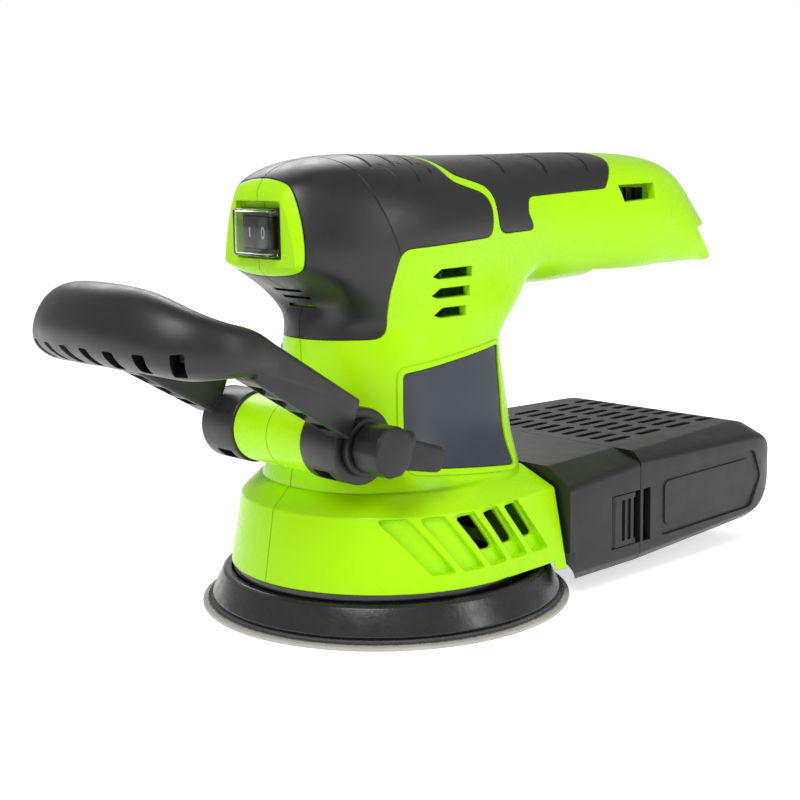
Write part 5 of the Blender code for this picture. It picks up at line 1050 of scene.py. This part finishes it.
def bar_form(name, levels):
    path = list(BAR_STATIONS) + [(u, -y, *rest) for u, y, *rest in reversed(BAR_STATIONS[:-1])]
    bm = bmesh.new()
    crease = bm.edges.layers.float.new("crease_edge")
    rings = []
    for index, (u, y, v, half_height, half_thickness, lean) in enumerate(path):
        before, after = path[max(index - 1, 0)], path[min(index + 1, len(path) - 1)]
        along = Vector((before[0] - after[0], after[1] - before[1])).normalized()
        lean = math.radians(lean)
        ring = []
        for k in range(BAR_RING):
            angle = TAU * k / BAR_RING
            wide = half_thickness * signed_power(math.cos(angle), BAR_ROUNDNESS)
            tall = half_height * signed_power(math.sin(angle), BAR_ROUNDNESS)
            out = wide * math.cos(lean) - tall * math.sin(lean)
            rise = wide * math.sin(lean) + tall * math.cos(lean)
            ring.append(bm.verts.new(
                MM * Vector((-u + along.y * out, y - along.x * out, v + rise))))
        rings.append(ring)
    for first, second in zip(rings, rings[1:]):
        bridge(bm, first, second)
    bm.faces.new(rings[0])
    bm.faces.new(rings[-1])
    return smooth_form(name, bm, crease, (rings[0], rings[-1]), levels)


print("hand bar:", 2 * len(BAR_STATIONS) - 1, "rings of", BAR_RING)

# %% Arms, hubs and pockets
ARM_OUTLINE = ((0.0040, 0.0152), (0.0088, 0.0036), (0.0470, 0.0262), (0.0400, 0.0368))
ARM_HOLLOW = ((0.0110, 0.0140), (0.0160, 0.0040), (0.0460, 0.0222), (0.0400, 0.0318))
WASHER_RADIUS = 0.0090
ARM_INNER_Y, ARM_OUTER_Y, ARM_SPREAD, ARM_FOOT, ARM_WALL = 0.0272, 0.0374, 0.10, 0.0060, 0.0018
RIB_COUNT, RIB_START, RIB_PITCH, RIB_THICKNESS, RIB_LEAN, RIB_HIGH = 4, 0.0170, 0.0070, 0.0014, 0.0080, 0.040
HUB_POCKETS, HUB_POCKET_START, HUB_POCKET_PITCH, HUB_POCKET_Y = 3, 20.0, 55.0, 0.0075
BAR_POCKETS, POCKET_SPAN, POCKET_FRONT, POCKET_SWEEP, POCKET_RISE = 8, 0.0340, 0.0745, 0.0090, 0.0330
POCKET_TIP, POCKET_TURN, POCKET_BEND = math.radians(-30.0), math.radians(-38.0), 2.2


def spread_arm(piece, side):
    """Leans a straight arm outwards from its foot."""
    for vertex in piece.data.vertices:
        vertex.co.y -= side * ARM_SPREAD * (vertex.co.x + ARM_FOOT)
    return piece


def arm_bar(name, outline, inner, outer, side, bevel=0.0):
    bar = sideways(name, [(-u, v) for u, v in outline], side, inner, outer)
    return spread_arm(rounded_edges(bar, bevel, 3) if bevel else bar, side)


def arm_channel(side):
    """The hollow of one arm, with the slanted ribs left standing."""
    inner, outer = ARM_INNER_Y + ARM_WALL, ARM_OUTER_Y - ARM_WALL
    hollow = arm_bar("Arm hollow", ARM_HOLLOW, inner, outer, side)
    rib = sideways("Rib", [
        (0.0, 0.0), (-RIB_THICKNESS, 0.0), (-RIB_THICKNESS - RIB_LEAN, RIB_HIGH), (-RIB_LEAN, RIB_HIGH)],
        side, inner - 0.001, outer + 0.001)
    ribs = copied("Ribs", rib, [(-RIB_START - RIB_PITCH * n, 0.0, 0.0) for n in range(RIB_COUNT)], SOFT)
    return cut(hollow, spread_arm(ribs, side))


arms, hubs, rooms = [], [], []
pocket = block("Hub pocket", (0.0075, -0.0038, -0.0026), (0.0150, 0.0038, 0.0026), bevel=0.0006)
pocket_turns = [(0.0, math.radians(HUB_POCKET_START + HUB_POCKET_PITCH * n), 0.0) for n in range(HUB_POCKETS)]
for side in SIDES:
    inner, outer = side * (BOSS_HALF_LENGTH + GAP), side * HUB_END_Y
    hubs.append(rounded_edges(rod("Hub", HUB_RADIUS, inner, outer, "Y", segments=72), 0.0008, 3, 60.0))
    arms.append(arm_bar("Arm", ARM_OUTLINE, ARM_INNER_Y, ARM_OUTER_Y, side, bevel=0.0012))
    rooms += [
        rod("Hub bore", BOLT_RADIUS + GAP, inner - side * 0.01, outer + side * 0.01, "Y"),
        rod("Clamp room", WASHER_RADIUS + 0.0008, outer, outer + side * 0.03, "Y", segments=64),
        arm_channel(side),
        copied("Hub pockets", pocket, [
            (0.0, side * (BOSS_HALF_LENGTH + HUB_POCKET_Y), 0.0)] * HUB_POCKETS, SOFT, pocket_turns)]
bar_pocket = block("Bar pocket", (-0.0046, -0.0020, -0.0040), (0.0046, 0.0020, 0.0040), bevel=0.0008)
shares = [2.0 * number / (BAR_POCKETS - 1) - 1.0 for number in range(BAR_POCKETS)]
pockets = copied(
    "Bar pockets", bar_pocket,
    [(POCKET_SWEEP * abs(share) ** POCKET_BEND - POCKET_FRONT, POCKET_SPAN * share, POCKET_RISE)
     for share in shares], SOFT, [(0.0, POCKET_TIP, POCKET_TURN * share) for share in shares])
boss_room = rod(
    "Boss room", HUB_RADIUS + 0.0010, -BOSS_HALF_LENGTH - GAP, BOSS_HALF_LENGTH + GAP, "Y", segments=64)
front_bar = cut(join(bar_form("Hand bar", 3), *hubs, *arms), boss_room, pockets, *rooms)
front_bar.data.transform(PIVOT)
place(front_bar, "front_bar", SOFT, "front_handle", "soft", "aux_handle")

# %% [markdown]
# ## Washer and knob
# The knob clamps the handle's hub to the housing. It has a facetted barrel for the fingers and one
# wing for the thumb. The facets are a ten-sided rod with rounded edges, and the wing's flat form
# carries a small dome where the gate of the mould was.

# %% Washer and knob
WASHER_BORE, KNOB_RADIUS, KNOB_LENGTH, KNOB_FACETS = BOLT_RADIUS + GAP, 0.0080, 0.0110, 10
WING_LENGTH, WING_DROOP = 0.0235, math.radians(16.0)
UPRIGHT_TO_SIDE = Matrix.Rotation(math.pi / 2.0, 4, "X")
washer_low, washer_high = (Vector(corner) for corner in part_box("clamp_washer"))
thickness = washer_high.y - washer_low.y
washer = spun("Washer", eased([
    (WASHER_BORE, 0.0, 0.0003), (WASHER_RADIUS, 0.0, 0.0006),
    (WASHER_RADIUS, thickness, 0.0006), (WASHER_BORE, thickness, 0.0003)], 3), 72)
washer.data.transform(PIVOT @ Matrix.Translation((0, washer_high.y, 0)) @ UPRIGHT_TO_SIDE)
place(washer, "washer_ring", DARK, "washer", "dark", "clamp_washer")

knob_inner = washer_low.y - GAP
knob_outer = knob_inner - KNOB_LENGTH
barrel = rod("Barrel", KNOB_RADIUS, knob_inner, knob_outer, "Y", segments=KNOB_FACETS)
barrel = rounded_edges(barrel, 0.0010, 3, 25.0)
wing = pushed("Wing", eased([
    (0.0, 0.0052, 0.0), (0.0, -0.0052, 0.0), (WING_LENGTH, -0.0036, 0.0034), (WING_LENGTH, 0.0044, 0.0034)], 6),
    knob_outer + 0.0020, knob_outer + 0.0068)
wing = rounded_edges(wing, 0.0013, 3)
dome = spun("Dome", [
    (0.00001, -0.0020), (0.0036, -0.0020), (0.0034, 0.0004), (0.0026, 0.0013), (0.0012, 0.0018),
    (0.00001, 0.0019)], 32)
dome.data.transform(Matrix.Translation((0.0060, knob_outer + 0.0022, 0.0040)) @ UPRIGHT_TO_SIDE)
thread = rod("Knob bore", BOLT_RADIUS + GAP, knob_inner + 0.01, knob_outer + 0.0027, "Y")
knob = cut(join(barrel, wing, dome), thread)
knob.data.transform(PIVOT @ Matrix.Rotation(WING_DROOP, 4, "Y"))
place(knob, "thumb_knob", DARK, "knob", "dark", "wing_knob")

# %% [markdown]
# ## The pad, its hooks and the abrasive disc
# The pad is poured polyurethane, so it is one turned profile with eight dust holes. Its profile is
# spun, not lathed by a modifier, so that the holes can be cut at once. A sheet of hooks is glued
# below it, and the hooks stick out as a dark fuzz round the rim: short hairs set on a circle by
# Geometry Nodes, each with its own random lean. The abrasive disc is a thin plate with a pale edge.

# %% Pad, hooks and disc
DUST_HOLES, HOLE_CIRCLE, HOLE_RADIUS, PAD_STEPS = 8, 0.0325, 0.0050, 120
DISC_RADIUS, DISC_THICK = 0.0614, 0.0012
HOOK_IN, HOOK_OUT, HOOK_LOW, HOOK_HIGH = 0.0062, 0.0588, 0.0015, 0.0021
hole_angles = [TAU * (number + 0.5) / DUST_HOLES for number in range(DUST_HOLES)]
dust_holes = copied(
    "Dust holes", rod("Dust hole", HOLE_RADIUS, -0.01, 0.02, segments=32),
    [(HOLE_CIRCLE * math.cos(angle), HOLE_CIRCLE * math.sin(angle), 0.0) for angle in hole_angles], FOAM)
pad_blank = spun("Pad blank", eased([
    (0.0027, 0.0052, 0.0), (0.0062, 0.0052, 0.0), (0.0062, 0.0024, 0.0), (0.0574, 0.0024, 0.0004),
    (0.0582, 0.0033, 0.0008), (0.0545, 0.0112, 0.0009), (0.0535, 0.0120, 0.0006),
    (0.0515, 0.0120, 0.0005), (0.0515, 0.0078, 0.0008), (0.0027, 0.0078, 0.0)], 3), PAD_STEPS)
place(cut(pad_blank, dust_holes), "sanding_pad_body", FOAM, "pad", "foam", "sanding_pad")
disc_blank = rounded_edges(rod("Disc blank", DISC_RADIUS, 0, DISC_THICK, segments=PAD_STEPS), 0.0003)
place(cut(disc_blank, dust_holes), "abrasive_disc", VELOUR, "pad", "velour", "sanding_disc")

HAIRS, given, end = new_tree(
    "Hairs round a rim", Part="Object", Finish="Material", Count="Int", Radius="Float",
    Height="Float", Lean="Vector", Seed="Int")
rim = node(HAIRS, "GeometryNodeMeshCircle", Vertices=given["Count"], Radius=given["Radius"])
flipped = node(HAIRS, "ShaderNodeVectorMath", operation="SCALE", Vector=given["Lean"], Scale=-1.0)
lean = node(HAIRS, "FunctionNodeRandomValue", data_type="FLOAT_VECTOR", Seed=given["Seed"])
for socket, limit in zip(lean.inputs, (flipped.outputs["Vector"], given["Lean"])):
    feed(HAIRS, socket, limit)
hairs = part_on(HAIRS, rim.outputs["Mesh"], given, Rotation=lean.outputs[0])
lift = node(HAIRS, "ShaderNodeCombineXYZ", Z=given["Height"])
lifted = node(HAIRS, "GeometryNodeTransform", Geometry=hairs, Translation=lift.outputs["Vector"])
finished(HAIRS, lifted.outputs["Geometry"], given, end)

hook_blank = spun("Hook blank", [
    (HOOK_IN, HOOK_LOW), (HOOK_OUT, HOOK_LOW), (HOOK_OUT, HOOK_HIGH), (HOOK_IN, HOOK_HIGH)], PAD_STEPS)
hook_sheet = cut(hook_blank, dust_holes)
hair = rod("Hair", 0.00010, -0.0006, 0.0006, segments=4, end_radius=0.00006)
fuzz = [grown("Fuzz", HAIRS, wired("Fuzz base", [(0, 0, 0)]), Part=hair, Finish=HOOKS, Count=520,
              Radius=radius, Height=0.0018, Lean=(1.3, 1.3, 1.3), Seed=seed)
        for radius, seed in ((0.0589, 3), (0.0594, 8))]
bm = bmesh.new()
for part in (hook_sheet, *fuzz):
    bm.from_mesh(part.data)
place(shape("Hooks", bm), "hook_sheet", HOOKS, "pad", "hooks", "hook_face")

# %% [markdown]
# The black ring between the skirt and the pad keeps the dust in. It is glossy rubber, and its
# step is what makes the thin dark line round the bottom of the housing. It is centred on the motor,
# which stands off the pad's axis by half of the orbit.

# %% Seal
MOTOR_X = -0.00125
seal_ring = spun("Seal", eased([
    (0.0475, 0.0100, 0.0003), (0.0497, 0.0100, 0.0008), (0.0497, 0.0125, 0.0), (0.0500, 0.0125, 0.0),
    (0.0500, 0.0142, 0.0), (0.0475, 0.0142, 0.0)], 3), PAD_STEPS, (MOTOR_X, 0.0))
place(seal_ring, "seal_ring", GLOSS, "housing", "seal", "skirt_seal")

# %% [markdown]
# ## The dust box
# The dust box is two mouldings: a frame that slides onto the skirt's rear, and a canister that
# clips onto the frame. Both are one loft of rounded sections along the length, so the same
# sections give the outside, the wall and the rim between them. A loft suits a moulding like this,
# because each section says exactly how wide and high the wall is there.

# %% Sections of the dust box
BOX_FRONT, BOX_SPLIT, BOX_REAR = 0.0364, 0.0730, 0.1545
BOX_LOW, BOX_SIDE, BOX_TOP, BOX_WIDE, BOX_FLAT = 0.0055, 0.0405, 0.0440, 0.0500, 0.0385
BOX_WALL, KNEE_RISE, BOX_STEPS = 0.0024, 0.0030, 3
FOOT_EASE, SIDE_EASE, TOP_EASE = 0.0016, 0.0026, 0.0030
ROLL, ROLL_STEPS = 0.0160, 9     # length over which the rear end rolls in, and its sections
ROLL_IN = (0.0160, -0.0080, -0.0072, -0.0038, -0.0035, -0.0062)


def box_sections(joint):
    """Rows of x, low, side top, top, half width, top half width, foot half width."""
    front = (BOX_FRONT, BOX_LOW, BOX_SIDE - 0.0030, BOX_TOP - 0.0004, BOX_WIDE, BOX_FLAT + 0.0015,
             BOX_WIDE - 0.0020)
    split = (BOX_SPLIT, BOX_LOW, BOX_SIDE + 0.0004, BOX_TOP + 0.0002, BOX_WIDE, joint, BOX_WIDE - 0.0028)
    full = (BOX_LOW + 0.0030, BOX_SIDE, BOX_TOP + 0.0004, BOX_WIDE, BOX_FLAT + 0.0010, BOX_WIDE - 0.0038)
    rear = []
    for step in range(ROLL_STEPS + 1):
        angle = math.pi / 2.0 * step / ROLL_STEPS
        drop = 1.0 - math.cos(angle)
        rear.append((BOX_REAR - ROLL * (1.0 - math.sin(angle)), *[a + b * drop for a, b in zip(full, ROLL_IN)]))
    return (front, split, *rear)


def box_form(name, joint, inset, start, end):
    """The dust box between two places along its length, set in by inset."""
    sections = box_sections(joint)
    bm = bmesh.new()
    rings = []
    for x in (start, *[row[0] for row in sections if start < row[0] < end - 1e-6], end):
        for first, second in zip(sections, sections[1:]):
            if x <= second[0]:
                break
        share = (x - first[0]) / (second[0] - first[0])
        low, side, top, wide, flat, foot = [a + (b - a) * share for a, b in zip(first[1:], second[1:])]
        low, top, side = low + inset, top - inset, side - 0.6 * inset
        knee = low + KNEE_RISE - 0.6 * inset
        wide, flat, foot = wide - inset, flat - inset, foot - inset
        outline = eased([
            (-foot, low, FOOT_EASE), (foot, low, FOOT_EASE), (wide, knee, FOOT_EASE), (wide, side, SIDE_EASE),
            (flat, top, TOP_EASE), (-flat, top, TOP_EASE), (-wide, side, SIDE_EASE), (-wide, knee, FOOT_EASE)],
            BOX_STEPS)
        at = x - inset if x > BOX_REAR - ROLL - 0.001 else x
        rings.append([bm.verts.new((at, y, z)) for y, z in outline])
    for first, second in zip(rings, rings[1:]):
        bridge(bm, first, second)
    bm.faces.new(rings[0])
    bm.faces.new(list(reversed(rings[-1])))
    return shape(name, bm)


print("sections from", BOX_FRONT, "to", BOX_REAR)

# %% [markdown]
# The frame carries the spigot that plugs into the skirt's port, and below it an arch keeps clear
# of the pad, which swings. The frame's floor follows that arch. Behind the split it has a rim that
# the canister slides over, and on each side it has a room with a pin for the latch.

# %% Frame
FRAME_JOINT, CANISTER_JOINT = 0.0380, 0.0465
ARCH_RADIUS, ARCH_HEIGHT = 0.0632, 0.0155
RIM_END, RIM_WALL, ROOM_END = BOX_SPLIT + 0.0060, 0.0016, BOX_SPLIT - 0.0060
SPIGOT_HALF, SPIGOT_LOW, SPIGOT_HIGH, THROAT_WALL = 0.0157, 0.0183, 0.0307, 0.0018
LATCH_HINGE, LATCH_HALF, LATCH_MIDDLE, LATCH_SINK = 0.0600, 0.0089, 0.0218, 0.0022
LATCH_LOW, LATCH_HIGH = LATCH_MIDDLE - LATCH_HALF, LATCH_MIDDLE + LATCH_HALF
PIN_RADIUS, PIN_SEAT = 0.0009, 0.0012

frame_outside = box_form("Frame outside", FRAME_JOINT, 0.0, BOX_FRONT, BOX_SPLIT)
frame_rim = box_form("Frame rim", CANISTER_JOINT, BOX_WALL + GAP, BOX_SPLIT - 0.0010, RIM_END)
spigot = block(
    "Spigot", (0.0325, -SPIGOT_HALF, SPIGOT_LOW), (BOX_FRONT + 0.0010, SPIGOT_HALF, SPIGOT_HIGH), 0.0012)
floor_dome = rod("Frame floor", ARCH_RADIUS + BOX_WALL, -0.02, ARCH_HEIGHT + BOX_WALL, segments=96)
frame_room = cut(
    box_form("Frame room", FRAME_JOINT, BOX_WALL, BOX_FRONT + BOX_WALL, ROOM_END), floor_dome)
frame_mouth = cut(
    box_form("Frame mouth", CANISTER_JOINT, BOX_WALL + GAP + RIM_WALL, ROOM_END - 0.0010, RIM_END + 0.01),
    floor_dome)
arch = rod("Pad arch", ARCH_RADIUS, -0.02, ARCH_HEIGHT, segments=96)
throat = block(
    "Throat", (0.02, -SPIGOT_HALF + THROAT_WALL, SPIGOT_LOW + THROAT_WALL),
    (BOX_FRONT + BOX_WALL + 0.001, SPIGOT_HALF - THROAT_WALL, SPIGOT_HIGH - THROAT_WALL))


def side_room(name, side, depth, front, rear):
    """A room in one side of the dust box, as high as the latch and its clearance."""
    inner, outer = sorted((side * (BOX_WIDE - depth), side * (BOX_WIDE + 0.01)))
    return block(name, (front, inner, LATCH_LOW - GAP), (rear, outer, LATCH_HIGH + GAP))


latch_rooms = [
    side_room("Latch room", side, 0.0085, LATCH_HINGE - 0.0022, RIM_END + 0.001) for side in SIDES]
frame_body = cut(join(frame_outside, frame_rim, spigot), frame_room, frame_mouth, arch, throat, *latch_rooms)
pins = [rod("Latch pin", PIN_RADIUS, LATCH_LOW - PIN_SEAT, LATCH_HIGH + PIN_SEAT,
            at=(LATCH_HINGE, side * (BOX_WIDE - LATCH_SINK)), segments=16) for side in SIDES]
place(join(frame_body, *pins), "dust_box_frame", DARK, "dust_box", "dark", "dust_frame")

# %% [markdown]
# Each latch is a springy arm with a tongue that hooks into the canister. The three flutes give the
# thumb hold. They are round-ended and deep enough to read as dark lines.

# %% Latches
LATCH_THICK, TONGUE = 0.0022, 0.0055
FLUTE_COUNT, FLUTE_START, FLUTE_PITCH, FLUTE_HALF, FLUTE_LONG = 3, 0.0040, 0.0031, 0.0009, 0.0072
PLATE_END = BOX_SPLIT - 0.0022
for side, hand in SIDES.items():
    skin, tongue = side * BOX_WIDE, side * (BOX_WIDE - BOX_WALL - GAP)
    inner, root = side * (BOX_WIDE - LATCH_THICK), side * (BOX_WIDE - BOX_WALL - GAP - 0.7 * LATCH_THICK)
    arm = pushed(f"Latch arm {hand}", [
        (LATCH_HINGE - 0.0004, skin), (PLATE_END - 0.0004, skin), (PLATE_END, skin - side * 0.0005),
        (PLATE_END, tongue), (BOX_SPLIT + TONGUE, tongue), (BOX_SPLIT + TONGUE, root),
        (PLATE_END - 0.0020, root), (PLATE_END - 0.0030, inner), (LATCH_HINGE - 0.0004, inner)],
        LATCH_LOW, LATCH_HIGH, "Z")
    axis = (LATCH_HINGE, side * (BOX_WIDE - LATCH_SINK))
    barrel = rod("Latch barrel", 0.0021, LATCH_LOW, LATCH_HIGH, at=axis, segments=32)
    bore = rod("Latch bore", 0.0012, 0.0, 0.05, at=axis, segments=16)
    flute = sideways("Flute", eased([
        (-FLUTE_HALF, -FLUTE_LONG, FLUTE_HALF), (FLUTE_HALF, -FLUTE_LONG, FLUTE_HALF),
        (FLUTE_HALF, FLUTE_LONG, FLUTE_HALF), (-FLUTE_HALF, FLUTE_LONG, FLUTE_HALF)], 4),
        side, BOX_WIDE - 0.0010, BOX_WIDE + 0.002)
    flutes = copied("Flutes", flute, [
        (LATCH_HINGE + FLUTE_START + FLUTE_PITCH * number, 0.0, LATCH_MIDDLE)
        for number in range(FLUTE_COUNT)], DARK)
    latch = cut(join(arm, barrel), bore, flutes)
    place(latch, f"dust_latch_{hand}", DARK, f"{hand}_latch", "dark", f"latch_{hand}")

# %% [markdown]
# The canister's top is a grille of long pointed slots in four rows of ten. One slot is made and a
# grid of them is grown, so that the pitch stays even. The sides have a sunk panel, left bare, and
# a window in which the latch's tongue hooks.

# %% Canister
SLOT_LONG, SLOT_HALF, SLOT_POINT, SLOT_START = 0.0138, 0.0016, 0.0009, 0.0058
SLOT_LENGTHS, SLOT_ACROSS, PITCH_ALONG, PITCH_ACROSS = 4, 10, 0.0178, 0.0066
PANEL_SUNK, PANEL_LOW, PANEL_HIGH, PANEL_INSET = 0.0009, 0.0018, 0.0004, 0.0030
canister_slot = pushed("Canister slot", [
    (SLOT_POINT, -SLOT_HALF), (SLOT_LONG - SLOT_POINT, -SLOT_HALF), (SLOT_LONG, 0.0),
    (SLOT_LONG - SLOT_POINT, SLOT_HALF), (SLOT_POINT, SLOT_HALF), (0.0, 0.0)],
    BOX_TOP - 0.0080, BOX_TOP + 0.01, "Z")
slot_middle = (BOX_SPLIT + SLOT_START + PITCH_ALONG * (SLOT_LENGTHS - 1) / 2.0, 0.0, 0.0)
canister_cuts = [
    grown("Canister slots", GRID, wired("Canister slot base", [(0, 0, 0)]), Part=canister_slot, Finish=DARK,
          Rows=SLOT_LENGTHS, Columns=SLOT_ACROSS, RowPitch=PITCH_ALONG, ColumnPitch=PITCH_ACROSS,
          Middle=slot_middle),
    box_form("Canister room", CANISTER_JOINT, BOX_WALL, BOX_SPLIT - 0.003, BOX_REAR)]
panels = []


def panel(name, side, inset, inner, outer):
    """A five-sided panel in one side of the canister, smaller all round by inset."""
    return sideways(name, eased([
        (BOX_SPLIT + 0.0115 + inset, 0.0125 + inset, 0.003), (BOX_REAR - 0.0150 - inset, 0.0135 + inset, 0.004),
        (BOX_REAR - 0.0085 - inset, 0.0240, 0.003), (BOX_REAR - 0.0135 - inset, 0.0350 - inset, 0.004),
        (BOX_SPLIT + 0.0115 + inset, 0.0345 - inset, 0.003)], 5), side, inner, outer)


for side in SIDES:
    canister_cuts.append(side_room("Hook window", side, 0.0060, BOX_SPLIT + 0.0017, BOX_SPLIT + 0.0058))
    canister_cuts.append(panel("Side panel", side, 0.0, BOX_WIDE - PANEL_SUNK, BOX_WIDE + 0.01))
    panels.append(panel("Raised panel", side, PANEL_INSET, BOX_WIDE - PANEL_LOW, BOX_WIDE - PANEL_HIGH))
canister_outside = box_form("Canister outside", CANISTER_JOINT, 0.0, BOX_SPLIT + GAP, BOX_REAR)
place(join(cut(canister_outside, *canister_cuts), *panels), "dust_box_canister", DARK, "canister", "dark",
      "dust_canister")

# %% [markdown]
# ## Housing screws
# Six screws hold the two halves of the housing together, and they go in from the right. One screw
# is modelled with its drive recess and its shank, and copies of it are set on the six places.

# %% Screws
HEAD_RADIUS, HEAD_THICK, SHANK_RADIUS, CORE_RADIUS, DRIVE_RADIUS = 0.0027, 0.0020, 0.0012, 0.0010, 0.0014
screw_low, screw_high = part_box(screw_names[0])
screw_head = spun("Screw head", eased([
    (0.0004, -HEAD_THICK, 0.0), (HEAD_RADIUS, -HEAD_THICK, 0.0), (HEAD_RADIUS, 0.0, 0.0006),
    (0.0004, 0.0, 0.0)], 3), 32)
core = rod("Screw core", CORE_RADIUS, -HEAD_THICK, -0.0003, segments=16)
shank = rod("Screw shank", SHANK_RADIUS, screw_low[1] - screw_high[1], -HEAD_THICK + 0.0004, segments=16)
drive = rod("Screw drive", DRIVE_RADIUS, -0.0011, 0.001, segments=6)
screw = cut(join(screw_head, core, shank), drive)
screw.data.transform(Matrix.Rotation(-math.pi / 2.0, 4, "X"))
place(copied("Screws", screw, screw_places, STEEL), "housing_screws", STEEL, "housing", "steel", *screw_names)

# %% [markdown]
# ## Closing the workshop
# Cutters and half-made forms are scaffolding, so they go.

# %% Clear up
for leftover in list(workshop.objects):
    bpy.data.objects.remove(leftover)
for group in list(bpy.data.collections):
    if group.name.endswith(" tools") or group is workshop:
        bpy.data.collections.remove(group)
